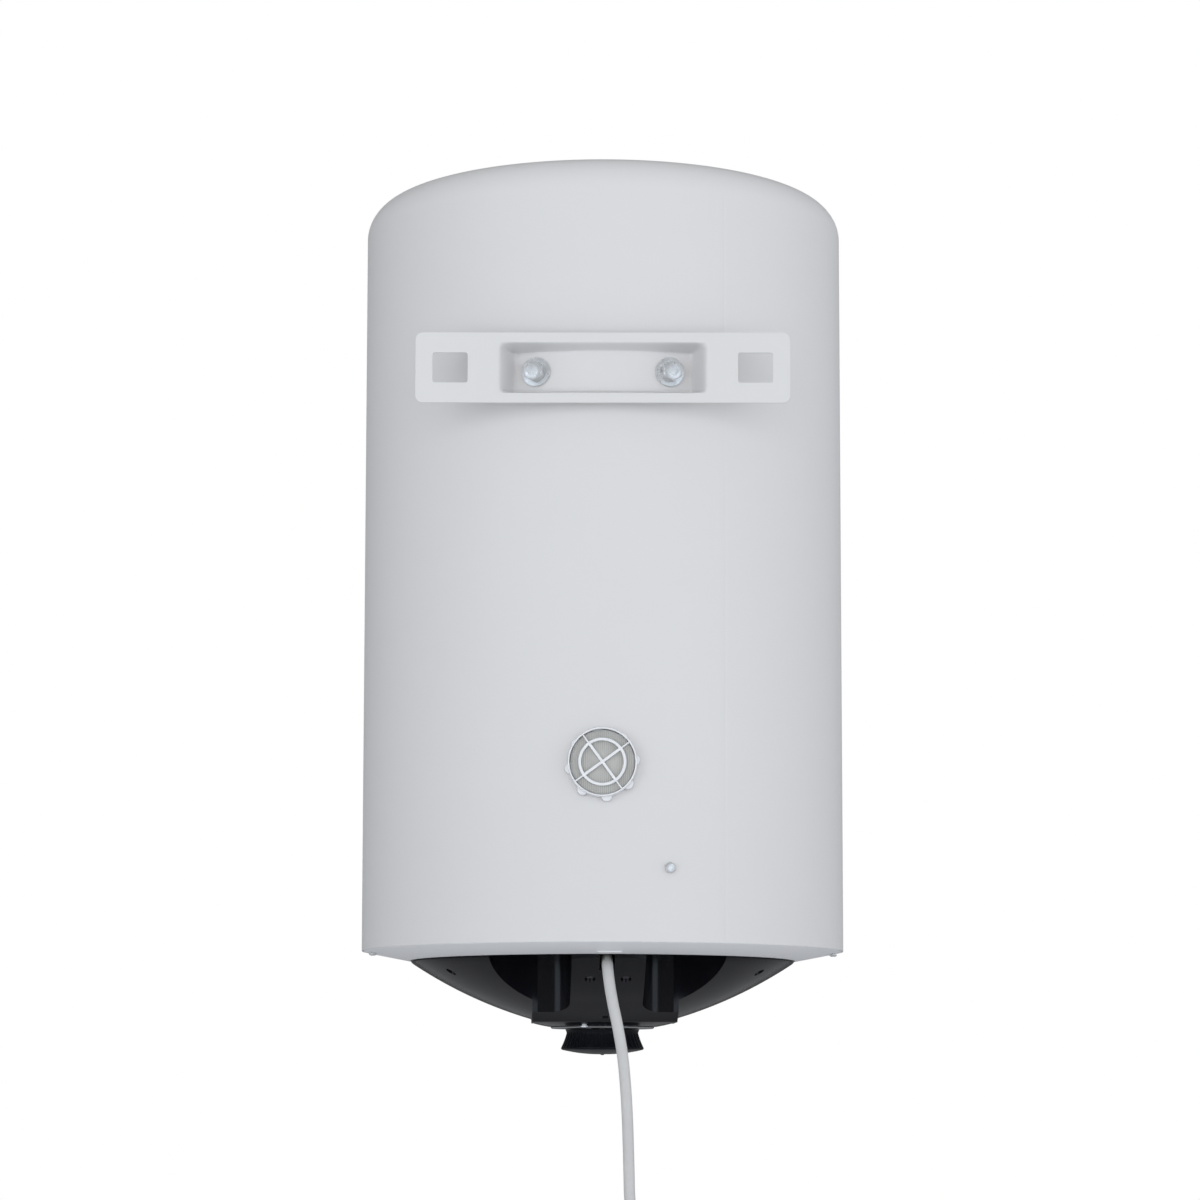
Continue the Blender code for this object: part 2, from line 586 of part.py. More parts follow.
def pocket_outline(side, grow):
    """Plan of the pocket around one pipe, open towards the ring."""
    inner = 0.033 - grow
    low = 0.087 - grow
    corner = 0.017
    outline = [(inner, 0.20)]
    outline += arc((inner + corner, low + corner), corner, 180, 270, 6)
    sweep = arc_through((0.062, low), (0.0905 + grow * 0.8, 0.108 - grow * 0.5), (0.1075 + grow, 0.150), 7)
    outline += sweep + [(0.122 + grow, 0.20)]
    return [(side * x, y) for x, y in outline]


def whole_cover(cover_axis):
    """The cover in one piece, as it is moulded."""
    cover = lathe("cover_blank", dome_outline(0), None, cover_axis, 48)
    boolean(cover, panel_block("add_panel", 0, cover_axis), "UNION")
    hollow = lathe("cut_hollow", dome_outline(COVER_WALL), None, cover_axis, 40)
    boolean(hollow, panel_block("cut_panel", COVER_WALL, cover_axis), "UNION")
    for side in (-1, 1):
        name = "pocket%d" % (side + 1)
        wide = prism("keep_" + name, pocket_outline(side, COVER_WALL), -0.09, 0.016, None, cover_axis)
        boolean(hollow, wide)
    posts = [(side * CLAMP_SCREW_X, CLAMP_SCREW_Y, -0.0115) for side in (-1, 1)]
    for angle in cover_screw_angles():
        posts.append((-COVER_SCREW_RADIUS * math.sin(angle), COVER_SCREW_RADIUS * math.cos(angle), 0.02))
    for number, (x, y, top) in enumerate(posts):
        boolean(hollow, rod("keep_post%d" % number, 0.0072, -0.08, top, cover_axis, (x, y, 0), steps=16))
    boolean(cover, hollow)
    for side in (-1, 1):
        name = "pocket%d" % (side + 1)
        boolean(cover, prism("cut_" + name, pocket_outline(side, 0), -0.09, POCKET_ROOF, None, cover_axis))
        at = (side * PIPE_X, PIPE_Y, 0)
        boolean(cover, rod("cut_way%d" % (side + 1), 0.0145, 0, 0.02, cover_axis, at, steps=20))
    for number, (x, y, top) in enumerate(posts):
        seat = -0.0265 if top < 0 else -0.0165
        wide = 0.0048 if top < 0 else 0.0045
        boolean(cover, rod("cut_seat%d" % number, wide, -0.08, seat, cover_axis, (x, y, 0), steps=16))
        boolean(cover, rod("cut_shank%d" % number, 0.0023, -0.03, 0.03, cover_axis, (x, y, 0), steps=12))
    notch = box("cut_notch", (NOTCH_X - 0.0067, 0.150, -0.0225), (NOTCH_X + 0.0067, 0.19, 0.02), None,
                cover_axis)
    boolean(cover, notch)
    slot = box("cut_slot", (-0.0025, 0.0745, -0.08), (0.0025, 0.0795, -0.05), None, cover_axis)
    boolean(cover, slot)
    boolean(cover, rod("cut_spindle", 0.0070, -0.09, -0.05, cover_axis, steps=20))
    boolean(cover, rod("cut_lamp", 0.0026, -0.09, -0.05, cover_axis, (0.0185, 0.0525, 0), steps=12))
    return cover


def bottom_cover(cover_axis):
    """The cover, with the walls and roofs of its two pipe pockets as pieces of their own.

    A thin wall that bends round a pocket needs its own collision pieces, or they close the pocket.
    """
    blank = whole_cover(cover_axis)
    space = [(0, -0.095), (COVER_RADIUS + 0.01, -0.095), (COVER_RADIUS + 0.01, 0.03), (0, 0.03)]
    cover = lathe("bottom_cover", space, BLACK_PLASTIC, cover_axis, 24)
    for side, word in ((1, "cold"), (-1, "hot")):
        outside = pocket_outline(side, COVER_WALL + GAP / 4)
        boolean(cover, prism("cut_%s_liner" % word, outside, -0.1, 0.04, None, cover_axis))
        inside = pocket_outline(side, COVER_WALL - GAP / 4)
        liner = prism(word + "_pocket_liner", inside, -0.09, 0.02, BLACK_PLASTIC, cover_axis)
        boolean(liner, blank, "INTERSECT")
    boolean(cover, blank, "INTERSECT")


def cover_fixings(cover_axis):
    for number, angle in enumerate(cover_screw_angles()):
        at = (-COVER_SCREW_RADIUS * math.sin(angle), COVER_SCREW_RADIUS * math.cos(angle), -0.0169)
        pan_screw("cover_screw_%d" % (number + 1), 0.0039, 0.0024, 0.0018, 0.0312, STEEL, cover_axis,
                  at, (math.pi, 0, 0))
    for side, word in ((-1, "left"), (1, "right")):
        at = (side * CLAMP_SCREW_X, CLAMP_SCREW_Y, -0.0269)
        pan_screw("cord_clamp_screw_" + word, 0.0040, 0.0024, 0.0018, 0.0305, STEEL, cover_axis,
                  at, (math.pi, 0, 0))
    clamp = box("cord_clamp", (-0.022, 0.1425, 0.0010), (0.022, 0.1515, 0.0054), CREAM, cover_axis,
                bevel=0.001)
    for side in (-1, 1):
        at = (side * CLAMP_SCREW_X, CLAMP_SCREW_Y, 0)
        boolean(clamp, rod("cut_clamp%d" % (side + 1), 0.0022, -0.01, 0.02, cover_axis, at, steps=12))


def knob_outline():
    return [(KNOB_BORE, KNOB_TOP - 0.0004), (0.0345, KNOB_TOP), (0.0335, -0.0742), (0.0334, -0.0756),
            (0.0342, -0.0782), (0.0356, -0.0819), (0.0371, -0.0856), (0.0385, -0.0888),
            (0.0386, -0.0899), (0.0378, -0.0909), (0.0330, -0.0922), (0.0220, -0.0940),
            (0.0100, -0.0950), (0, -0.0952), (0, -0.0868), (KNOB_BORE, -0.0868)]


def thermostat(cover_axis):
    knob = [(r, z - KNOB_TOP) for r, z in knob_outline()]
    top = knob.index((0, -0.0952 - KNOB_TOP))
    outline = knob[top + 1:] + knob[:top + 1]
    lathe("thermostat_knob", outline, KNOB_PLASTIC, cover_axis, 36, (0, 0, KNOB_TOP))
    trim = [(0.0365, BOSS_FLOOR - 0.0003), (0.0485, BOSS_FLOOR - 0.0003), (0.0480, BOSS_FLOOR - 0.0013)]
    trim += [(0.0470, BOSS_FLOOR - 0.0019), (0.0365, BOSS_FLOOR - 0.0019)]
    lathe("knob_trim_ring", trim, CHROME, cover_axis, 32)
    spindle = [(0, -0.0146), (SPINDLE_RADIUS, -0.0146), (SPINDLE_RADIUS, 0.0312), (0, 0.0312)]
    lathe("thermostat_spindle", spindle, STEEL, cover_axis, 16, (0, 0, KNOB_TOP))
    body = box("thermostat_body", (-0.024, -0.020, -0.0405), (0.024, 0.020, 0.012), CREAM, cover_axis,
               bevel=0.002)
    plate = box("add_plate", (-0.060, -0.030, -0.003), (0.060, 0.030, -0.001), None, cover_axis)
    boolean(body, plate, "UNION")
    rod_outline = [(0, 0.008), (0.0028, 0.008), (0.0028, 0.290), (0, 0.290)]
    boolean(body, lathe("add_rod", rod_outline, None, cover_axis, 12), "UNION")
    lamp = [(0, -0.0035), (0.0022, -0.0035), (0.0022, 0.0100), (0, 0.0100)]
    lens = lathe("indicator_lamp", lamp, LENS, cover_axis, 16, (0.0185, 0.0525, BOSS_FLOOR + 0.0006))
    head = [(0, -0.0022), (0.0024, -0.0020), (0.0033, -0.0013), (0.0036, -0.0010), (0, -0.0010)]
    boolean(lens, lathe("add_lens", head, None, cover_axis, 20, (0.0185, 0.0525, BOSS_FLOOR + 0.0006)),
            "UNION")
    cutout = box("thermal_cutout", (0.030, -0.020, -0.0250), (0.056, 0.016, -0.0034), CREAM, cover_axis,
                 bevel=0.001)
    boolean(cutout, rod("cut_button", 0.0035, -0.03, -0.0190, cover_axis, (*RESET_PLACE, 0), steps=16))
    button = [(0, -0.0075), (0.0022, -0.0075), (0.0030, -0.0065), (0.0030, 0), (0, 0)]
    lathe("reset_button", button, RED, cover_axis, 16, (*RESET_PLACE, -0.0215))
    box("terminal_block", (-0.056, -0.020, -0.0200), (-0.030, 0.020, -0.0034), CREAM, cover_axis,
        bevel=0.001)


def flange_group(cover_axis):
    plate = [(x, y) for x, y, _ in ring_points(FLANGE_RADIUS, 0, 32)]
    flange = prism("flange_plate", plate, 0.0284, 0.0320, STEEL, cover_axis)
    edge = FLANGE_RADIUS - 0.001
    gasket = [(0.036, 0.0324), (edge, 0.0324), (edge, 0.0356), (0.036, 0.0356)]
    seal = lathe("flange_gasket", gasket, GASKET, cover_axis, 24)
    for i in range(FLANGE_BOLTS):
        x, y = flange_bolt_place(i)
        boolean(flange, rod("cut_hole%d" % i, 0.0029, 0.02, 0.04, cover_axis, (x, y, 0), steps=12))
        boolean(seal, rod("cut_seal%d" % i, 0.0029, 0.02, 0.04, cover_axis, (x, y, 0), steps=12))
        hex_bolt("flange_bolt_%d" % (i + 1), 0.0095, 0.0042, 0.0024, 0.019, STEEL, cover_axis,
                 (x, y, 0.0280), (math.pi, 0, 0))
    for name, x, y, radius in (("well", 0, 0, 0.0045), ("leg_a", -0.022, -0.016, 0.0048),
                               ("leg_b", 0.022, -0.016, 0.0048), ("stud", 0, 0.024, 0.0035)):
        boolean(flange, rod("cut_" + name, radius, 0.02, 0.04, cover_axis, (x, y, 0), steps=12))
    well = [(0.0033, 0.024), (0.0041, 0.024), (0.0041, 0.302), (0, 0.302), (0, 0.298), (0.0033, 0.298)]
    lathe("thermowell", well, COPPER, cover_axis, 16)
    anode = [(0, 0.020), (0.0030, 0.020), (0.0030, 0.040), (0.0105, 0.040), (0.0105, 0.300), (0, 0.300)]
    lathe("anode_rod", anode, MAGNESIUM, cover_axis, 16, (0, 0.024, 0))
    side = [(-0.022, -0.016, 0.016), (-0.022, -0.016, 0.030), (-0.022, -0.016, 0.044)]
    side += [(-0.0225, -0.0185, 0.062), (-0.024, -0.030, 0.110), (-0.024, -0.036, 0.200)]
    side += [(-0.022, -0.036, 0.270), (-0.012, -0.036, 0.292)]
    route = side + [(0, -0.036, 0.298)] + [(-x, y, z) for x, y, z in side[::-1]]
    tube("heating_element", smooth_route(route, 2), 0.0040, COPPER, cover_axis)


def pipes(cover_axis):
    for name, side, top, spec in (("cold_inlet", 1, 0.110, BLUE), ("hot_outlet", -1, 0.600, RED)):
        at = (side * PIPE_X, PIPE_Y, 0)
        outline = [(PIPE_BORE, PIPE_END), (PIPE_RADIUS - 0.0006, PIPE_END), (PIPE_RADIUS, PIPE_END + 0.0008)]
        outline += [(PIPE_RADIUS, top), (PIPE_BORE, top)]
        lathe(name + "_pipe", outline, PIPE_STEEL, cover_axis, 20, at)
        collar = [(PIPE_RADIUS + 0.0006, 0.0048), (0.0158, 0.0048), (0.0158, 0.0077)]
        lathe(name + "_ring", collar + [(PIPE_RADIUS + 0.0006, 0.0077)], spec, cover_axis, 24, at)


def power_cord(axis):
    tube("power_cord", smooth_route(CORD_ROUTE, 2), CORD_RADIUS, CORD_GREY, axis)
    centre = Vector(COIL_CENTRE)
    facing = (math.pi / 2, 0, 0)
    section = arc((COIL_RADIUS, 0), COIL_SECTION, 0, 324, 9)
    lathe("cord_coil", section, CORD_GREY, axis, 32, centre, facing)
    angle = math.radians(122)
    spot = centre + Vector((COIL_RADIUS * math.cos(angle), 0, COIL_RADIUS * math.sin(angle)))
    band = [(COIL_SECTION + 0.0006, -0.0035), (COIL_SECTION + 0.0020, -0.0035)]
    band += [(COIL_SECTION + 0.0020, 0.0035), (COIL_SECTION + 0.0006, 0.0035)]
    lathe("coil_tie", band, GASKET, axis, 24, spot, (0, math.pi / 2 - angle + math.pi / 2, 0))
    lead_x = centre.x - COIL_RADIUS
    lead = [(lead_x, centre.y, centre.z - s) for s in (0.0468, 0.0585, 0.0702, PLUG_TOP - 0.0003)]
    tube("cord_lead", lead, CORD_RADIUS, CORD_GREY, axis)
    plug_at = (lead_x, centre.y, centre.z - PLUG_TOP)
    body = [(0, 0), (0.0064, 0), (0.0072, -0.004), (0.0088, -0.022), (0.0112, -0.026), (0.0150, -0.032)]
    body += [(0.0168, -0.038), (0.0172, -0.044), (0.0184, -0.047), (0.0184, -0.0575), (0.0178, -0.0582)]
    lathe("plug_body", body + [(0, -0.0582)], CORD_GREY, axis, 24, plug_at)
    for side, word in ((-1, "left"), (1, "right")):
        pin_at = (lead_x + side * 0.0095, centre.y, plug_at[2] - 0.0585)
        pin = [(0, 0), (0.0024, 0), (0.0024, -0.0172), (0.0016, -0.0188), (0, -0.0190)]
        lathe("plug_pin_" + word, pin, BRASS, axis, 12, pin_at)


def main():
    clear_scene()
    axis = frame_empty("heater_axis", (0, -AXIS_TO_WALL, -HOOK_HEIGHT))
    cover_axis = frame_empty("cover_axis", (0, 0, 0), COVER_TURN, axis)
    outer_jacket(axis)
    top_cap(axis)
    insulation_foam(axis, cover_axis)
    inner_tank(axis, cover_axis)
    wall_bracket(axis)
    bracket_fixings(axis)
    foam_port(axis)
    jacket_screw(axis)
    bottom_cap(cover_axis)
    bottom_cover(cover_axis)
    cover_fixings(cover_axis)
    thermostat(cover_axis)
    flange_group(cover_axis)
    pipes(cover_axis)
    power_cord(axis)


if __name__ == "__main__":
    main()
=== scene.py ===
"""Looks of a wall-hung electric storage water heater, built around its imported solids.

Lengths are metres. Shapes are drawn in the heater's own frame: its origin is on the tank's
axis at the jacket's bottom edge, +Z is up and +Y points to the wall.
"""
import json
import math

import bmesh
import bpy
from bpy.props import FloatProperty, FloatVectorProperty, IntProperty, PointerProperty
from bpy.types import Operator, Panel, PropertyGroup
from mathutils import Euler, Matrix, Vector


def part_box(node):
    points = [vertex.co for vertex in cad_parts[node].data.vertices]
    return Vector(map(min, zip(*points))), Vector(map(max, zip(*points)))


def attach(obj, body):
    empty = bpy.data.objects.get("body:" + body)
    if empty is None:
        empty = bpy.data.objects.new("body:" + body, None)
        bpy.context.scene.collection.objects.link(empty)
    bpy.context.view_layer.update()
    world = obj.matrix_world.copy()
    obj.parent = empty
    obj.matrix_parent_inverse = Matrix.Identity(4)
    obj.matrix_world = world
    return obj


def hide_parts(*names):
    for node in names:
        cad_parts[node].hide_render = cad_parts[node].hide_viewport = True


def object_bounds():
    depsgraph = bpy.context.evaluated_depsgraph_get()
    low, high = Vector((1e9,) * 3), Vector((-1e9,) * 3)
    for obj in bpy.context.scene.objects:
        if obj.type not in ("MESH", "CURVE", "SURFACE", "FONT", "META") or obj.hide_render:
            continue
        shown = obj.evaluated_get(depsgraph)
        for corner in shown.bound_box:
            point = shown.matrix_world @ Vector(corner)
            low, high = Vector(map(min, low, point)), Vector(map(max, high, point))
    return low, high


bl_info = {
    "name": "Wall Water Heater",
    "version": (1, 0, 0),
    "blender": (4, 5, 0),
    "location": "View3D > Sidebar > Heater",
    "description": "Builds the visible pieces of a wall-hung water heater and its studio",
    "category": "Object",
}

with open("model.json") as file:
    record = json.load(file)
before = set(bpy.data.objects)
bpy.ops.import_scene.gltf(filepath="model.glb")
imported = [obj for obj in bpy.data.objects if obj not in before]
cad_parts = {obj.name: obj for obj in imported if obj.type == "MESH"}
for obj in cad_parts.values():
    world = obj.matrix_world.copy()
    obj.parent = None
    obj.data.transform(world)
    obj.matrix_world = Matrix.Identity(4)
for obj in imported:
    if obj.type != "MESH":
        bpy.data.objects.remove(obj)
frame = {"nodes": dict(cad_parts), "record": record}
CAD_BOX = [list(corner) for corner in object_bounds()]

JACKET_LOW, JACKET_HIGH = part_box("outer_jacket")
RADIUS = (JACKET_HIGH.x - JACKET_LOW.x) / 2
HEIGHT = JACKET_HIGH.z - JACKET_LOW.z
AXIS = Vector((JACKET_LOW.x + RADIUS, JACKET_LOW.y + RADIUS, JACKET_LOW.z))


def middle(node):
    """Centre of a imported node, in the heater's own frame."""
    low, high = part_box(node)
    return (low + high) / 2 - AXIS


def wall_angle(node):
    """How far round the jacket a node sits, from the wall side."""
    spot = middle(node)
    return math.atan2(-spot.x, spot.y)


SHEET = 0.0008
SHOULDER_RADIUS = 0.032
TOP_OPENING = 0.168
COVER_TURN = math.radians(2)
SEAM_TURN = math.radians(119)
GAP = 0.0004

BRACKET_LOW, BRACKET_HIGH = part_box("wall_bracket")
BRACKET_LENGTH = BRACKET_HIGH.x - BRACKET_LOW.x
BRACKET_HEIGHT = BRACKET_HIGH.z - BRACKET_LOW.z
BRACKET_SHEET = 0.0025
BRACKET_CORNER = 0.0062
RECESS_LENGTH = 0.186
RECESS_HEIGHT = 0.0463
RECESS_END_SLOPE = 0.016
RECESS_SIDE_SLOPE = 0.0055
HOOK_HOLE_X = 0.1353
HOOK_HOLE = (0.0312, 0.027)
HOOK_HEIGHT = middle("bracket_bolt_left").z
BOLT_RADIUS = 0.0047
BOLT_HOLE_RADIUS = 0.0054
BOLT_NODES = ("bracket_bolt_left", "bracket_bolt_right")
WASHER_RADIUS = 0.0132

PORT_HEIGHT = middle("foam_port_mesh").z
PORT_RADIUS = 0.0303
PORT_STAND = 0.0116
PORT_INNER_RING = 0.0212
PORT_WALL = 0.0013
MESH_RADIUS = 0.0284
LOBES = 8
LOBE_CIRCLE = 0.0284

RING_INNER = 0.1795
RING_DROP = 0.0089
RING_OUTER = RADIUS - SHEET - 2 * GAP
RING_WALL = 0.0018
RING_SCREW_RADIUS = 0.2155
RING_SCREW_TURNS = (83, -83, 172, -172)
COVER_RADIUS = 0.1788
COVER_TOP = 0.0105
COVER_WALL = 0.0025
DOME_START = (0.1770, -0.01165)
DOME_MIDDLE = (0.1274, -0.0396)
DOME_END = (0.0695, -0.0619)
BOSS_RADIUS = 0.0668
BOSS_FLOOR = -0.0697
UNDER_COVER = -0.09
POCKET_ROOF = 0.008
COVER_SCREW_RADIUS = 0.161
COVER_SCREW_TURNS = (61, -61, 180)
CLAMP_SCREW = (0.0161, 0.147)
SCREW_HOLE_RADIUS = 0.0023
NOTCH_X = 0.0015
LAMP_PLACE = (0.0185, 0.0525)
PIPE_PLACE = (0.050, 0.1045)
PIPE_RADIUS = 0.0105
PIPE_BORE = 0.0075
PIPE_END = -0.005
KNOB_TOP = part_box("thermostat_knob")[1].z - AXIS.z

CORD_RADIUS = 0.005
COIL_CENTRE = Vector((-0.0245, 0.185, -0.320))
COIL_RADIUS = 0.055
COIL_TURNS = 3
COIL_START = math.radians(135)
COIL_STEPS = 24
INTO_COIL = (-0.0503, 0.1782, -0.2622)
TIE_TURN = math.radians(122)
PLUG_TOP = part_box("plug_body")[1].z - AXIS.z
CORD_ROUTE = [
    (-0.0040, 0.1300, -0.0005),
    (-0.0041, 0.1480, -0.0062),
    (-0.0044, 0.1660, -0.0150),
    (-0.0052, 0.1785, -0.0247),
    (-0.0068, 0.1862, -0.0375),
    (-0.0095, 0.1893, -0.0530),
    (-0.0135, 0.1900, -0.0720),
    (-0.0180, 0.1895, -0.0980),
    (-0.0206, 0.1885, -0.1240),
    (-0.0222, 0.1875, -0.1500),
    (-0.0231, 0.1865, -0.1750),
    (-0.0238, 0.1855, -0.2000),
    (-0.0243, 0.1850, -0.2200),
    (-0.0257, 0.1850, -0.2320),
    (-0.0290, 0.1850, -0.2415),
    (-0.0345, 0.1850, -0.2488),
]


class HeaterSizes(PropertyGroup):
    """Small sizes of the visible pieces."""

    round_steps: IntProperty(
        name="Round steps", description="Flats round the jacket, the ring and the cover",
        default=144, min=48, max=256)
    seam_depth: FloatProperty(
        name="Seam depth", description="Depth of the jacket's lengthwise seam",
        default=0.00022, min=0, max=0.0006, precision=5, subtype="DISTANCE", unit="LENGTH")
    seam_width: FloatProperty(
        name="Seam width", description="Width of the jacket's lengthwise seam",
        default=0.0022, min=0.0005, max=0.004, precision=5, subtype="DISTANCE", unit="LENGTH")
    edge_round: FloatProperty(
        name="Edge round", description="Radius of the bracket's pressed edges",
        default=0.0005, min=0.0001, max=0.001, precision=5, subtype="DISTANCE", unit="LENGTH")
    knob_ribs: IntProperty(
        name="Knob ribs", description="Grip ribs round the thermostat knob", default=40, min=12, max=80)
    rib_depth: FloatProperty(
        name="Rib depth", description="Depth of the knob's grip ribs",
        default=0.0007, min=0, max=0.0012, precision=5, subtype="DISTANCE", unit="LENGTH")
    thread_pitch: FloatProperty(
        name="Thread pitch", description="Pitch of the half-inch pipe thread",
        default=0.001814, min=0.001, max=0.003, precision=6, subtype="DISTANCE", unit="LENGTH")
    thread_depth: FloatProperty(
        name="Thread depth", description="Depth of the pipe thread",
        default=0.0009, min=0.0002, max=0.0012, precision=5, subtype="DISTANCE", unit="LENGTH")


class HeaterColours(PropertyGroup):
    """Colours that a user would change."""

    paint: FloatVectorProperty(
        name="Jacket paint", description="Paint of the jacket and the bracket",
        default=(0.678, 0.667, 0.668), size=3, min=0, max=1, subtype="COLOR")
    ring: FloatVectorProperty(
        name="Ring plastic", description="Plastic of the bottom ring and the port",
        default=(0.800, 0.806, 0.825), size=3, min=0, max=1, subtype="COLOR")
    cover: FloatVectorProperty(
        name="Cover plastic", description="Plastic of the domed bottom cover",
        default=(0.006, 0.006, 0.008), size=3, min=0, max=1, subtype="COLOR")
    knob: FloatVectorProperty(
        name="Knob plastic", description="Plastic of the thermostat knob",
        default=(0.004, 0.005, 0.008), size=3, min=0, max=1, subtype="COLOR")
    cord: FloatVectorProperty(
        name="Cord grey", description="Sheath of the mains lead and its plug",
        default=(0.585, 0.578, 0.572), size=3, min=0, max=1, subtype="COLOR")
    zinc: FloatVectorProperty(
        name="Zinc plate", description="Plated bolts, washers and screws",
        default=(0.88, 0.89, 0.90), size=3, min=0, max=1, subtype="COLOR")
    mesh: FloatVectorProperty(
        name="Port mesh", description="Mesh and foam behind the port's grille",
        default=(0.50, 0.495, 0.475), size=3, min=0, max=1, subtype="COLOR")


class HeaterStudio(PropertyGroup):
    """Camera, light and floor."""

    lens: FloatProperty(
        name="Lens", description="Focal length of the camera in millimetres",
        default=108.47, min=20, max=300)
    sky: FloatProperty(
        name="Sky light", description="Strength of the even light from all round",
        default=0.68, min=0, max=3)
    key: FloatProperty(
        name="Key light", description="Power of the large soft box behind the camera",
        default=78, min=0, max=500, unit="POWER")
    side: FloatProperty(
        name="Side light", description="Power of the soft box beside the heater",
        default=14, min=0, max=500, unit="POWER")
    floor: FloatVectorProperty(
        name="Floor colour", description="Colour of the plain floor",
        default=(0.74, 0.74, 0.75), size=3, min=0, max=1, subtype="COLOR")


def arc(centre, radius, start, end, steps):
    """Points of an arc in a plane, angles in degrees."""
    angles = [math.radians(start + (end - start) * i / steps) for i in range(steps + 1)]
    return [(centre[0] + radius * math.cos(a), centre[1] + radius * math.sin(a)) for a in angles]


def arc_through(first, between, last, steps):
    """Points of the arc that runs from first through a second point to last."""
    (ax, ay), (bx, by), (cx, cy) = first, between, last
    d = 2 * (ax * (by - cy) + bx * (cy - ay) + cx * (ay - by))
    a2, b2, c2 = ax * ax + ay * ay, bx * bx + by * by, cx * cx + cy * cy
    ux = (a2 * (by - cy) + b2 * (cy - ay) + c2 * (ay - by)) / d
    uy = (a2 * (cx - bx) + b2 * (ax - cx) + c2 * (bx - ax)) / d
    start = math.atan2(ay - uy, ax - ux)
    to_second = (math.atan2(by - uy, bx - ux) - start) % math.tau
    turn = (math.atan2(cy - uy, cx - ux) - start) % math.tau
    if to_second > turn:
        turn -= math.tau
    radius = math.hypot(ax - ux, ay - uy)
    return arc((ux, uy), radius, math.degrees(start), math.degrees(start + turn), steps)


def eased(points, steps=4):
    """A closed outline whose points may carry a third number, the radius that rounds them."""
    out = []
    for i, point in enumerate(points):
        corner = Vector(point[:2])
        if len(point) < 3:
            out.append(tuple(corner))
            continue
        before = Vector(points[i - 1][:2]) - corner
        after = Vector(points[(i + 1) % len(points)][:2]) - corner
        half = before.angle(after) / 2
        reach = min(point[2] / math.tan(half), before.length / 2, after.length / 2)
        inward = (before.normalized() + after.normalized()).normalized()
        centre = corner + inward * reach / math.cos(half)
        first = corner + before.normalized() * reach - centre
        last = corner + after.normalized() * reach - centre
        start = math.atan2(first.y, first.x)
        turn = (math.atan2(last.y, last.x) - start + math.pi) % math.tau - math.pi
        out += arc(centre, first.length, math.degrees(start), math.degrees(start + turn), steps)
    return out


def circle(radius, count):
    angles = [math.tau * i / count for i in range(count)]
    return [(radius * math.cos(a), radius * math.sin(a)) for a in angles]


def finished(bm):
    """The built shape as a mesh, its faces turned outward."""
    bmesh.ops.recalc_face_normals(bm, faces=bm.faces[:])
    mesh = bpy.data.meshes.new("shape")
    bm.to_mesh(mesh)
    bm.free()
    return mesh


def turned(outline, steps=96, shape=None):
    """A solid turned about Z from a closed outline of (radius, height) points.

    steps is a number of flats or the angles themselves, and shape may move each point.
    """
    angles = [math.tau * i / steps for i in range(steps)] if isinstance(steps, int) else steps
    bm = bmesh.new()
    rings = []
    for r, z in outline:
        if r == 0:
            rings.append([bm.verts.new((0, 0, z))] * len(angles))
            continue
        ring = []
        for a in angles:
            radius, height = shape(a, r, z) if shape else (r, z)
            ring.append(bm.verts.new((radius * math.cos(a), radius * math.sin(a), height)))
        rings.append(ring)
    pairs = list(zip(rings, rings[1:]))
    if outline[0][0] or outline[-1][0]:
        pairs.append((rings[-1], rings[0]))
    for low, high in pairs:
        for i in range(len(angles)):
            j = (i + 1) % len(angles)
            corners = list(dict.fromkeys((low[i], low[j], high[j], high[i])))
            if len(corners) > 2:
                bm.faces.new(corners)
    return finished(bm)


def loft(sections, ends=True):
    """A solid through loops of equal length, with flat ends or closed round on itself."""
    bm = bmesh.new()
    loops = [[bm.verts.new(p) for p in section] for section in sections]
    pairs = list(zip(loops, loops[1:]))
    if ends:
        bm.faces.new(loops[0])
        bm.faces.new(loops[-1])
    else:
        pairs.append((loops[-1], loops[0]))
    for low, high in pairs:
        for i in range(len(low)):
            j = (i + 1) % len(low)
            bm.faces.new((low[i], low[j], high[j], high[i]))
    return finished(bm)


def prism(outline, low, high):
    """A solid with a flat outline in XY, between two heights."""
    return loft([[(x, y, z) for x, y in outline] for z in (low, high)])


def block(low, high, bevel=0.0):
    """A box between two corners, its edges eased."""
    bm = bmesh.new()
    size = Vector(high) - Vector(low)
    centre = (Vector(high) + Vector(low)) / 2
    bmesh.ops.create_cube(bm, size=1, matrix=Matrix.Translation(centre) @ Matrix.Diagonal((*size, 1)))
    if bevel:
        bmesh.ops.bevel(bm, geom=bm.edges[:], offset=bevel, segments=3, affect="EDGES", profile=0.5)
    return finished(bm)


def moved(mesh, at=(0, 0, 0), turn=0.0):
    """The mesh turned about Z and then moved."""
    mesh.transform(Matrix.Translation(at) @ Matrix.Rotation(turn, 4, "Z"))
    return mesh


def rod(radius, count, low, high, at=(0, 0)):
    """An upright round bar, or the hole that it cuts."""
    return moved(prism(circle(radius, count), low, high), (*at, 0))


def joined(meshes):
    """Several separate solids as one mesh."""
    bm = bmesh.new()
    for mesh in meshes:
        bm.from_mesh(mesh)
        bpy.data.meshes.remove(mesh)
    return finished(bm)


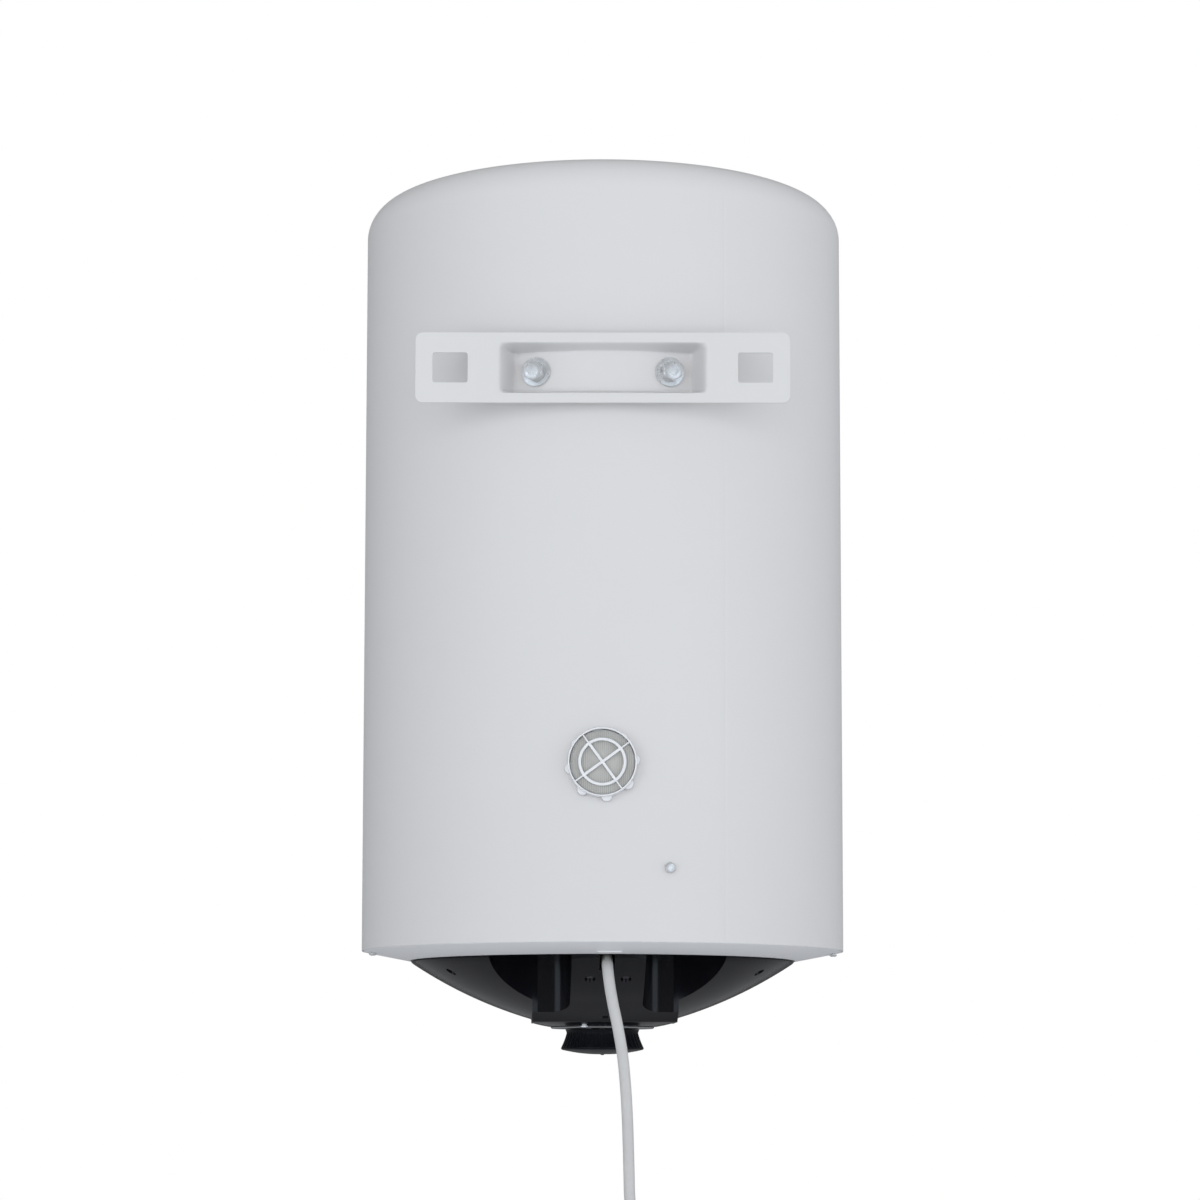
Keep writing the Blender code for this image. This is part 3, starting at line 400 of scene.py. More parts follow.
def combined(mesh, *steps):
    """The mesh after each (operation, other mesh) in turn."""
    body = bpy.data.objects.new("shaping", mesh)
    bpy.context.scene.collection.objects.link(body)
    others = []
    for operation, other in steps:
        tool = bpy.data.objects.new("tool", other)
        bpy.context.scene.collection.objects.link(tool)
        others.append(tool)
        modifier = body.modifiers.new(operation, "BOOLEAN")
        modifier.object = tool
        modifier.operation = operation
        modifier.solver = "EXACT"
    graph = bpy.context.evaluated_depsgraph_get()
    made = bpy.data.meshes.new_from_object(body.evaluated_get(graph))
    for used in [body, *others]:
        bpy.data.objects.remove(used)
    if not made.polygons:
        raise RuntimeError("a shape has nothing left after its cuts")
    return made


def piece(name, mesh, finish, nodes, body="heater", at=(0, 0, 0), turn=(0, 0, 0), sharp=32):
    """Places one finished piece in the heater's frame, on its body, for the nodes it stands for."""
    mesh.name = name
    mesh.transform(Euler(turn).to_matrix().to_4x4())
    mesh.materials.clear()
    mesh.materials.append(surface(finish))
    mesh.shade_smooth()
    mesh.set_sharp_from_angle(angle=math.radians(sharp))
    obj = bpy.data.objects.new(name, mesh)
    bpy.context.scene.collection.objects.link(obj)
    obj.location = AXIS + Vector(at)
    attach(obj, body)
    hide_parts(*nodes)
    return obj


def cover_spot(x, y, z=0.0):
    """A place drawn in the cover's own plan, which is turned a little on the tank."""
    return Matrix.Rotation(COVER_TURN, 3, "Z") @ Vector((x, y, z))


def outward(angle, radius, z):
    """Place and turn of a piece that points out of the jacket, angle from the wall side."""
    return (-radius * math.sin(angle), radius * math.cos(angle), z), (-math.pi / 2, 0, angle)


def soft_step(value):
    """Smooth rise from 0 to 1."""
    t = min(1.0, max(0.0, value))
    return t * t * (3 - 2 * t)


def smooth_route(points, per_span):
    """Points read from a Catmull-Rom curve through the route."""
    ends = [2 * Vector(points[0]) - Vector(points[1])]
    ends += [Vector(p) for p in points] + [2 * Vector(points[-1]) - Vector(points[-2])]
    out = []
    for p0, p1, p2, p3 in zip(ends, ends[1:], ends[2:], ends[3:]):
        for i in range(per_span):
            t = i / per_span
            out.append(0.5 * (2 * p1 + (p2 - p0) * t + (2 * p0 - 5 * p1 + 4 * p2 - p3) * t ** 2
                              + (3 * p1 - p0 - 3 * p2 + p3) * t ** 3))
    return out + [ends[-2]]


def add(tree, kind, settings=None, *first, **inputs):
    """A shader node with its settings, its sockets set or linked in order or by name."""
    node = tree.nodes.new("ShaderNode" + kind)
    for key, value in (settings or {}).items():
        setattr(node, key, value)
    sockets = [(node.inputs[i], value) for i, value in enumerate(first)]
    sockets += [(node.inputs[key.replace("_", " ")], value) for key, value in inputs.items()]
    for socket, value in sockets:
        if isinstance(value, bpy.types.NodeSocket):
            tree.links.new(value, socket)
        else:
            socket.default_value = value
    return node


def blend(tree, factor, first, second):
    """The colour between two others."""
    node = add(tree, "Mix", {"data_type": "RGBA"}, factor)
    slots = [socket for socket in node.inputs if socket.type == "RGBA"]
    for socket, value in zip(slots, (first, second)):
        tree.links.new(value, socket)
    return next(socket for socket in node.outputs if socket.type == "RGBA")


def group(name, inputs, outputs):
    """A shader node group with named inputs and outputs, made once."""
    tree = bpy.data.node_groups.new(name, "ShaderNodeTree")
    for label, kind, value in inputs:
        socket = tree.interface.new_socket(label, in_out="INPUT", socket_type="NodeSocket" + kind)
        socket.default_value = value
    for label, kind in outputs:
        tree.interface.new_socket(label, in_out="OUTPUT", socket_type="NodeSocket" + kind)
    return tree, tree.nodes.new("NodeGroupInput").outputs, tree.nodes.new("NodeGroupOutput").inputs


def hand_out(tree, out, **results):
    """Links a group's results to its named outputs."""
    for label, socket in results.items():
        tree.links.new(socket, out[label])
    return tree


GREY = (0.5, 0.5, 0.5, 1)
TWO_COLOURS = [("Light Colour", "Color", GREY), ("Dark Colour", "Color", GREY)]


def mottled_group():
    """Slow patches of two close colours, with a fine grain that lifts the surface."""
    tree, entry, out = group(
        "Mottled Grain",
        [*TWO_COLOURS, ("Patch Scale", "Float", 8), ("Grain Scale", "Float", 900),
         ("Smoothest", "Float", 0.3), ("Roughest", "Float", 0.5)],
        [("Colour", "Color"), ("Roughness", "Float"), ("Height", "Float")])
    place = add(tree, "TexCoord").outputs["Object"]
    patch = add(tree, "TexNoise", Vector=place, Scale=entry["Patch Scale"], Detail=4.0)
    grain = add(tree, "TexNoise", Vector=place, Scale=entry["Grain Scale"], Detail=2.0)
    share = add(tree, "MapRange", Value=patch.outputs["Fac"], From_Min=0.32, From_Max=0.68)
    gloss = add(tree, "MapRange", Value=patch.outputs["Fac"], From_Min=0.3, From_Max=0.7,
                To_Min=entry["Smoothest"], To_Max=entry["Roughest"])
    colour = blend(tree, share.outputs["Result"], entry["Light Colour"], entry["Dark Colour"])
    return hand_out(tree, out, Colour=colour, Roughness=gloss.outputs["Result"], Height=grain.outputs["Fac"])


def drawn_group():
    """Fine lines drawn along one direction, with plated patches under them."""
    tree, entry, out = group(
        "Drawn Lines",
        [*TWO_COLOURS, ("Stretch", "Vector", (60, 60, 900)), ("Patch Scale", "Float", 300),
         ("Smoothest", "Float", 0.2), ("Roughest", "Float", 0.4)],
        [("Colour", "Color"), ("Roughness", "Float"), ("Height", "Float")])
    place = add(tree, "TexCoord").outputs["Object"]
    long = add(tree, "VectorMath", {"operation": "MULTIPLY"}, place, entry["Stretch"])
    line = add(tree, "TexNoise", Vector=long.outputs["Vector"], Scale=1.0, Detail=3.0)
    cell = add(tree, "TexVoronoi", Vector=place, Scale=entry["Patch Scale"])
    share = add(tree, "MapRange", Value=line.outputs["Fac"], From_Min=0.3, From_Max=0.7)
    gloss = add(tree, "MapRange", Value=cell.outputs["Distance"], From_Min=0.1, From_Max=0.7,
                To_Min=entry["Smoothest"], To_Max=entry["Roughest"])
    colour = blend(tree, share.outputs["Result"], entry["Light Colour"], entry["Dark Colour"])
    return hand_out(tree, out, Colour=colour, Roughness=gloss.outputs["Result"], Height=line.outputs["Fac"])


def weave_group():
    """Threads that cross each other over and under."""
    tree, entry, out = group(
        "Crossed Threads",
        [*TWO_COLOURS, ("Thread Scale", "Float", 300)],
        [("Colour", "Color"), ("Height", "Float")])
    place = add(tree, "TexCoord").outputs["Object"]
    one = add(tree, "TexWave", {"bands_direction": "X"}, Vector=place, Scale=entry["Thread Scale"])
    other = add(tree, "TexWave", {"bands_direction": "Y"}, Vector=place, Scale=entry["Thread Scale"])
    high = add(tree, "Math", {"operation": "MAXIMUM"}, one.outputs["Fac"], other.outputs["Fac"])
    stain = add(tree, "TexNoise", Vector=place, Scale=70.0, Detail=3.0)
    # Colour lighter on the raised threads and in random patches, darker where the threads dip.
    tops_in_patches = add(tree, "Math", {"operation": "MULTIPLY"}, high.outputs["Value"], stain.outputs["Fac"])
    share = add(tree, "MapRange", Value=tops_in_patches.outputs["Value"], From_Min=0.15, From_Max=0.6)
    colour = blend(tree, share.outputs["Result"], entry["Dark Colour"], entry["Light Colour"])
    return hand_out(tree, out, Colour=colour, Height=high.outputs["Value"])


GROUPS = {"Mottled Grain": mottled_group, "Drawn Lines": drawn_group, "Crossed Threads": weave_group}
COATED = {"Coat Weight": 0.4}
CLEAR_COATED = {"Coat Weight": 0.5}
# Each finish: colour or the name of a user's colour, how much darker its patches are, smoothest and
# roughest, the scales of its patches and grain, strength and depth of its grain, other shader values.
MOTTLED = {
    "white_paint": ("paint", 0.012, (0.46, 0.52), (5.0, 420.0), (0.06, 0.0002), {"IOR": 1.40}),
    "white_plastic": ("ring", 0.02, (0.40, 0.50), (18.0, 1500.0), (0.08, 0.0001), {}),
    "black_plastic": ("cover", 0.2, (0.16, 0.24), (14.0, 1800.0), (0.05, 0.0001), {"IOR": 1.40}),
    "knob_plastic": ("knob", 0.2, (0.30, 0.38), (30.0, 2200.0), (0.06, 0.0001), {"IOR": 1.35}),
    "zinc_steel": ("zinc", 0.22, (0.24, 0.38), (160.0, 900.0), (0.03, 0.00005), {"Metallic": 0.6}),
    # Zinc-plated screws painted almost black and not metallic: painted shade of the deep seats in the cover
    # that hold them.
    "zinc_in_painted_shade": ((0.035, 0.035, 0.037), 0.4, (0.25, 0.40), (300.0, 1500.0), (0.1, 0.0001), {}),
    "tank_enamel": ((0.05, 0.09, 0.16), 0.3, (0.15, 0.30), (40.0, 500.0), (0.1, 0.0003), COATED),
    "yellow_foam": ((0.80, 0.70, 0.42), 0.25, (0.85, 0.95), (60.0, 700.0), (0.6, 0.0008), {}),
    "anode_metal": ((0.55, 0.55, 0.54), 0.2, (0.5, 0.7), (120.0, 900.0), (0.4, 0.0004), {"Metallic": 1.0}),
    "black_rubber": ((0.025, 0.025, 0.027), 0.3, (0.6, 0.8), (90.0, 1600.0), (0.2, 0.0002), {}),
    "blue_plastic": ((0.03, 0.13, 0.55), 0.15, (0.35, 0.45), (60.0, 1500.0), (0.08, 0.0001), {}),
    "red_plastic": ((0.60, 0.03, 0.03), 0.15, (0.35, 0.45), (60.0, 1500.0), (0.08, 0.0001), {}),
    "cream_plastic": ((0.75, 0.70, 0.58), 0.06, (0.40, 0.50), (50.0, 1300.0), (0.08, 0.0001), {}),
    "lamp_lens": ((0.86, 0.88, 0.92), 0.06, (0.08, 0.16), (200.0, 900.0), (0.03, 0.0001), CLEAR_COATED),
    "grey_cord": ("cord", 0.06, (0.42, 0.56), (45.0, 1400.0), (0.12, 0.0001), {}),
}
# Each metal with drawn lines: colour, how much darker its lines are, smoothest and roughest, and how
# closely the lines change along X, Y and Z.
DRAWN = {
    "silver_trim": ((0.72, 0.73, 0.75), 0.08, (0.12, 0.24), (300, 300, 1500)),
    "copper_sheath": ((0.72, 0.42, 0.28), 0.2, (0.25, 0.45), (300, 300, 60)),
    "pipe_steel": ((0.66, 0.65, 0.62), 0.15, (0.22, 0.40), (200, 200, 1800)),
    "plug_brass": ((0.70, 0.62, 0.45), 0.12, (0.15, 0.28), (400, 400, 60)),
}
PLATE_PATCHES = 320.0
DRAWN_GRAIN = (0.08, 0.00005)


def dressed(name, effect, colour, spread, rough, values, bump, shader_values):
    """A material whose colour, gloss and grain come from one of the shared groups."""
    made = bpy.data.materials.new(name)
    made.use_nodes = True
    tree = made.node_tree
    shader = tree.nodes["Principled BSDF"]
    for key, value in shader_values.items():
        shader.inputs[key].default_value = value
    skin = tree.nodes.new("ShaderNodeGroup")
    skin.node_tree = bpy.data.node_groups.get(effect) or GROUPS[effect]()
    values["Light Colour"] = (*colour, 1)
    values["Dark Colour"] = (*[c * (1 - spread) for c in colour], 1)
    if rough:
        values["Smoothest"], values["Roughest"] = rough
        tree.links.new(skin.outputs["Roughness"], shader.inputs["Roughness"])
    for key, value in values.items():
        skin.inputs[key].default_value = value
    tree.links.new(skin.outputs["Colour"], shader.inputs["Base Color"])
    lift = add(tree, "Bump", Height=skin.outputs["Height"], Strength=bump[0], Distance=bump[1])
    tree.links.new(lift.outputs["Normal"], shader.inputs["Normal"])
    return made


def surface(finish):
    """The material of one finish, made the first time it is asked for."""
    name = "finish_" + finish
    if name in bpy.data.materials:
        return bpy.data.materials[name]
    colours = bpy.context.scene.heater_colours
    if finish == "port_mesh":
        return dressed(name, "Crossed Threads", colours.mesh, 0.24, None, {"Thread Scale": 170.0},
                       (0.35, 0.0003), {"Roughness": 0.85})
    if finish in DRAWN:
        colour, spread, rough, stretch = DRAWN[finish]
        values = {"Stretch": stretch, "Patch Scale": PLATE_PATCHES}
        return dressed(name, "Drawn Lines", colour, spread, rough, values, DRAWN_GRAIN, {"Metallic": 1.0})
    colour, spread, rough, scales, bump, others = MOTTLED[finish]
    if isinstance(colour, str):
        colour = getattr(colours, colour)
    values = {"Patch Scale": scales[0], "Grain Scale": scales[1]}
    return dressed(name, "Mottled Grain", colour, spread, rough, values, bump, others)


def soft_box(name, spot, aim, size, power, mirrored=True, tint=(1, 1, 1)):
    """A large area light that the camera doesn't see, nor a glossy surface unless it is mirrored."""
    light = bpy.data.lights.new(name, "AREA")
    light.shape = "RECTANGLE"
    light.size, light.size_y = size
    light.energy = power
    light.color = tint
    obj = bpy.data.objects.new(name, light)
    bpy.context.scene.collection.objects.link(obj)
    obj.location = spot
    obj.rotation_euler = (Vector(aim) - Vector(spot)).to_track_quat("-Z", "Y").to_euler()
    obj.visible_camera = False
    obj.visible_glossy = mirrored


SKY_FAR_SIDE = 0.78
SKY_IN_MIRRORS = (0.18, 0.22)
FLOOR_IN_MIRRORS = 0.35


def studio_sky(strength):
    """Even light from all round, weaker from one side and in mirrored rays, and plain white behind."""
    world = bpy.data.worlds.new("studio_sky")
    world.use_nodes = True
    tree = world.node_tree
    tree.nodes.clear()
    seen = add(tree, "Background", Color=(1, 1, 1, 1), Strength=1.0)
    split = add(tree, "SeparateXYZ", Vector=add(tree, "TexCoord").outputs["Generated"])
    across = add(tree, "MapRange", Value=split.outputs["X"], From_Min=-1.0, From_Max=1.0, To_Min=strength,
                 To_Max=strength * SKY_FAR_SIDE)
    behind = add(tree, "MapRange", Value=split.outputs["Y"], From_Min=-0.8, From_Max=0.6,
                 To_Min=SKY_IN_MIRRORS[0], To_Max=SKY_IN_MIRRORS[1])
    rays = add(tree, "LightPath")
    mirrored = add(tree, "MapRange", Value=rays.outputs["Is Glossy Ray"], To_Min=1.0,
                   To_Max=behind.outputs["Result"])
    power = add(tree, "Math", {"operation": "MULTIPLY"}, across.outputs["Result"], mirrored.outputs["Result"])
    lit = add(tree, "Background", Color=(0.95, 0.975, 1.0, 1), Strength=power.outputs["Value"])
    mix = add(tree, "MixShader", None, rays.outputs["Is Camera Ray"], lit.outputs["Background"],
              seen.outputs["Background"])
    add(tree, "OutputWorld", Surface=mix.outputs["Shader"])
    bpy.context.scene.world = world


def floor_finish(colour):
    """Pale floor, darker in mirrored rays, and clear from below so that it never hides the heater."""
    made = bpy.data.materials.new("studio_floor")
    made.use_nodes = True
    tree = made.node_tree
    shader = tree.nodes["Principled BSDF"]
    shader.inputs["Roughness"].default_value = 0.9
    seen, mirrored = add(tree, "RGB"), add(tree, "RGB")
    seen.outputs[0].default_value = (*colour, 1)
    mirrored.outputs[0].default_value = (*[c * FLOOR_IN_MIRRORS for c in colour], 1)
    glossy = add(tree, "LightPath").outputs["Is Glossy Ray"]
    tree.links.new(blend(tree, glossy, seen.outputs[0], mirrored.outputs[0]), shader.inputs["Base Color"])
    clear = add(tree, "BsdfTransparent").outputs["BSDF"]
    below = add(tree, "NewGeometry").outputs["Backfacing"]
    mix = add(tree, "MixShader", None, below, shader.outputs["BSDF"], clear)
    tree.links.new(mix.outputs["Shader"], tree.nodes["Material Output"].inputs["Surface"])
    return made


class HEATER_OT_studio(Operator):
    """Camera behind and a little under the heater, soft light and a plain floor"""

    bl_idname = "heater.studio"
    bl_label = "Studio"
    camera_spot = (-0.0048, 3.1495, -0.6426)
    camera_aim = (0.0022, 0.1137, 0.0013)
    camera_shift = 0.0708
    floor_drop = 0.20
    floor_radius = 3.2

    def execute(self, context):
        studio = context.scene.heater_studio
        context.scene.view_settings.view_transform = "Standard"
        lens = bpy.data.cameras.new("camera")
        lens.lens = studio.lens
        lens.shift_y = self.camera_shift
        camera = bpy.data.objects.new("camera", lens)
        context.scene.collection.objects.link(camera)
        yaw, pitch, roll = self.camera_aim
        camera.matrix_world = (Matrix.Translation(self.camera_spot) @ Matrix.Rotation(math.pi + yaw, 4, "Z")
                               @ Matrix.Rotation(math.pi / 2 + pitch, 4, "X") @ Matrix.Rotation(roll, 4, "Z"))
        context.scene.camera = camera
        studio_sky(studio.sky)
        centre = AXIS + Vector((0, 0, HEIGHT / 2))
        soft_box("key", centre + Vector((0.7, 4.3, -0.2)), centre, (5.0, 3.6), studio.key, mirrored=False)
        soft_box("side", centre + Vector((-3.2, 0.3, 0.1)), centre, (2.0, 2.8), studio.side, mirrored=False)
        soft_box("front", centre + Vector((0.4, -4.2, 0.8)), centre, (4.0, 3.0), studio.key, mirrored=False)
        for side in (-1, 1):
            soft_box("strip", centre + Vector((2.4 * side, 3.0, -0.3)), centre, (2.2, 2.8), studio.side * 1.5,
                     tint=(0.76, 0.88, 1.0))
        bm = bmesh.new()
        bmesh.ops.create_circle(bm, cap_ends=True, segments=96, radius=self.floor_radius)
        mesh = bpy.data.meshes.new("floor")
        bm.to_mesh(mesh)
        bm.free()
        mesh.materials.append(floor_finish(studio.floor))
        floor = bpy.data.objects.new("floor", mesh)
        context.scene.collection.objects.link(floor)
        floor.location = (AXIS.x, AXIS.y, CAD_BOX[0][2] - self.floor_drop)
        return {"FINISHED"}


def coil_route():
    """The lead's turns, wound so that the four strands lie two by two and never cross."""
    half = CORD_RADIUS * 1.02
    strands = (((1, -1), (-1, -1), 0.70), ((-1, -1), (-1, 1), 0.45), ((-1, 1), (1, 1), 0.20),
               ((1, 1), (1, 1), 0))
    out = []
    for i in range(COIL_TURNS * COIL_STEPS + COIL_STEPS // 8 + 1):
        first, last, begin = strands[i // COIL_STEPS]
        share = soft_step(((i % COIL_STEPS) / COIL_STEPS - begin) / 0.30)
        radial, across = (half * (a + (b - a) * share) for a, b in zip(first, last))
        angle = COIL_START + math.tau * i / COIL_STEPS
        reach = COIL_RADIUS + radial
        out.append(COIL_CENTRE + Vector((reach * math.cos(angle), across, reach * math.sin(angle))))
    return out


def lead_out(start):
    """The short straight stretch from the coil down into the plug."""
    plug = Vector((COIL_CENTRE.x - COIL_RADIUS, COIL_CENTRE.y, PLUG_TOP - 0.004))
    out = []
    for drop in (0.2, 0.35, 0.5, 0.65, 0.8, 0.93, 1.0):
        z = start.z + (plug.z - start.z) * drop
        share = 0.5 - 0.5 * math.cos(math.pi * min(1, max(0, (drop - 0.18) / 0.75)))
        out.append(Vector((start.x + (plug.x - start.x) * share, start.y + (plug.y - start.y) * share, z)))
    return out


def plug_meshes():
    """Body of the plug with a ribbed neck and a waisted grip, and one of its pins."""
    outline = [(0, 0), (0.0056, 0, 0.0004), (0.0064, -0.0010, 0.0004)]
    for i in range(6):
        z = -0.0024 - 0.0031 * i
        wide = 0.0070 + 0.00032 * i
        narrow = wide - 0.0010
        outline += [(wide, z, 0.0003), (wide, z - 0.0016, 0.0003), (narrow, z - 0.0018), (narrow, z - 0.0030)]
    outline += [(0.0094, -0.0222, 0.001), (0.0112, -0.0258, 0.003), (0.0150, -0.0318, 0.006),
                (0.0166, -0.0378, 0.006), (0.0163, -0.0445, 0.004), (0.0184, -0.0474, 0.0012),
                (0.0184, -0.0577, 0.0006), (0.0176, -0.0582, 0.0004), (0.0128, -0.0582, 0.0003),
                (0.0124, -0.0578)]
    outline = eased(outline, 3) + [(0, -0.0578)]

    def gripped(angle, r, z):
        flat = soft_step((-0.0240 - z) / 0.006) * soft_step((z + 0.0470) / 0.004)
        return r * (1 - 0.10 * flat * abs(math.cos(angle)) ** 4), z

    body = turned(outline, 64, gripped)
    tip = arc((0.0002, -0.0168), 0.0022, 0, -90, 6)
    return body, turned([(0, 0), (0.0024, 0), (0.0024, -0.0165), *tip, (0, -0.0190)], 32)


class HEATER_OT_cord(Operator):
    """Mains lead from the cover's notch, its tied coil and its plug"""

    bl_idname = "heater.cord"
    bl_label = "Mains Lead"

    def execute(self, context):
        coil = coil_route()
        points = smooth_route([*CORD_ROUTE, INTO_COIL, *coil, *lead_out(coil[-1])], 4)
        curve = bpy.data.curves.new("mains_lead", "CURVE")
        curve.dimensions = "3D"
        curve.bevel_depth = CORD_RADIUS
        curve.bevel_resolution = 6
        curve.use_fill_caps = True
        spline = curve.splines.new("POLY")
        spline.points.add(len(points) - 1)
        for point, spot in zip(spline.points, points):
            point.co = (*spot, 1)
        curve.materials.append(surface("grey_cord"))
        lead = bpy.data.objects.new("mains_lead", curve)
        context.scene.collection.objects.link(lead)
        lead.location = AXIS
        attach(lead, "heater")
        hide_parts("power_cord", "cord_coil", "cord_lead")
        spot = (COIL_CENTRE.x - COIL_RADIUS, COIL_CENTRE.y, PLUG_TOP)
        body, pin = plug_meshes()
        parts = [piece("plug", body, "grey_cord", ["plug_body"], at=spot)]
        for side, word in ((-1, "left"), (1, "right")):
            at = (spot[0] + side * 0.0095, spot[1], spot[2] - 0.0583)
            parts.append(piece("plug_contact_" + word, pin.copy(), "plug_brass", ["plug_pin_" + word], at=at))
        parts.append(self.tie())
        return {"FINISHED"}

    def tie(self):
        """A rubber band, drawn as (outward, across), that hugs the four strands."""
        low, high = (-0.0105, -0.0118), (0.0122, 0.0105)
        loops = []
        for thick, edge in ((0, -0.0035), (0.0014, -0.0031), (0.0014, 0.0031), (0, 0.0035)):
            corners = [(high[0] + thick, high[1] + thick), (low[0] - thick, high[1] + thick),
                       (low[0] - thick, low[1] - thick), (high[0] + thick, low[1] - thick)]
            loops.append([(x, y, edge) for x, y in eased([(*c, 0.0052 + thick) for c in corners], 6)])
        band = loft(loops, ends=False)
        along = Vector((-math.sin(TIE_TURN), 0, math.cos(TIE_TURN)))
        out = Vector((math.cos(TIE_TURN), 0, math.sin(TIE_TURN)))
        axes = Matrix((out, (0, 1, 0), along)).transposed()
        band.transform(axes.to_4x4())
        return piece("lead_tie", band, "black_rubber", ["coil_tie"], at=COIL_CENTRE + out * COIL_RADIUS)


class HEATER_OT_jacket(Operator):
    """Painted jacket with its hem, round shoulder and lengthwise seam, and its top lid"""

    bl_idname = "heater.jacket"
    bl_label = "Jacket"
    levels = (0.03, 0.056, 0.075, 0.13, 0.185, 0.30, 0.42, 0.49, 0.524, 0.60)
    lid_radius = 0.182
    bead_height = 0.0010

    def execute(self, context):
        sizes = context.scene.heater_sizes
        across = [sizes.seam_width * share for share in (-0.5, -0.3, -0.1, 0.1, 0.3, 0.5)]
        seam = [SEAM_TURN + offset / RADIUS for offset in across]
        even = [math.tau * i / sizes.round_steps for i in range(sizes.round_steps)]
        angles = sorted(seam + [a for a in even if not seam[0] - 0.006 < a < seam[-1] + 0.006])
        wall_top = HEIGHT - SHOULDER_RADIUS

        def seamed(angle, r, z):
            near = 1 - min(1, abs(angle - SEAM_TURN) * RADIUS / (sizes.seam_width * 0.4))
            depth = sizes.seam_depth * near * soft_step((wall_top + 0.01 - z) / 0.01)
            return (r - depth if r > RADIUS - SHEET / 2 else r), z

        bend = (RADIUS - SHOULDER_RADIUS, wall_top)
        outer = [(RADIUS - 0.0003, 0), (RADIUS, 0.0004)] + [(RADIUS, z) for z in self.levels]
        outer += arc(bend, SHOULDER_RADIUS, 0, 90, 20) + [(TOP_OPENING + 0.0004, HEIGHT)]
        inner = [(TOP_OPENING, HEIGHT - SHEET / 2), (TOP_OPENING + 0.0004, HEIGHT - SHEET)]
        inner += arc(bend, SHOULDER_RADIUS - SHEET, 90, 0, 20) + [(RADIUS - SHEET, 0)]
        shell = turned(outer + inner, angles, seamed)
        cuts = []
        radii = (BOLT_RADIUS + 0.0008, BOLT_RADIUS + 0.0008, 0.025, 0.0024)
        for node, radius in zip((*BOLT_NODES, "foam_port_mesh", "jacket_screw"), radii):
            spot, turn = outward(wall_angle(node), RADIUS, middle(node).z)
            drill = prism(circle(radius, 32), -0.01, 0.01)
            drill.transform(Matrix.LocRotScale(spot, Matrix.Rotation(turn[2], 3, "Z")
                                               @ Matrix.Rotation(turn[0], 3, "X"), (1, 1, 1)))
            cuts.append(drill)
        shell = combined(shell, ("DIFFERENCE", joined(cuts)))
        piece("jacket", shell, "white_paint", ["outer_jacket"], sharp=28)
        top = HEIGHT - SHEET - GAP
        bead = top + self.bead_height
        lid = [(0, top), (0.136, top, 0.003), (0.1395, bead, 0.002), (0.1485, bead, 0.002),
               (0.152, top, 0.003), (self.lid_radius, top), (self.lid_radius, top - SHEET),
               (0.152, top - SHEET, 0.003), (0.148, bead - SHEET, 0.002), (0.140, bead - SHEET, 0.002),
               (0.136, top - SHEET, 0.003), (0, top - SHEET)]
        piece("top_lid", turned(eased(lid), sizes.round_steps), "white_paint", ["top_cap"], sharp=40)
        return {"FINISHED"}


def even_steps(start, end, count):
    """Evenly spaced numbers, without the last one."""
    return [start + (end - start) * i / count for i in range(count)]


def bracket_skin(x, z, grow):
    """How far from the tank's axis one skin of the pressed bracket lies."""
    flat = -AXIS.y - grow
    ends = soft_step((RECESS_LENGTH / 2 + grow - abs(x)) / RECESS_END_SLOPE)
    sides = soft_step((RECESS_HEIGHT / 2 + grow - abs(z)) / RECESS_SIDE_SLOPE)
    bed = math.sqrt((RADIUS + 0.003) ** 2 - min(abs(x), RECESS_LENGTH / 2) ** 2) - grow
    return flat + (bed - flat) * ends * sides


def slab(outline, near, far):
    """A solid with a flat outline in XZ, between two distances along Y."""
    return loft([[(x, y, z) for x, z in outline] for y in (near, far)])


def rounded_rectangle(width, height, corner, at=(0, 0)):
    """A closed outline with four round corners."""
    spots = [(1, 1), (-1, 1), (-1, -1), (1, -1)]
    return eased([(at[0] + x * width / 2, at[1] + z * height / 2, corner) for x, z in spots], 6)


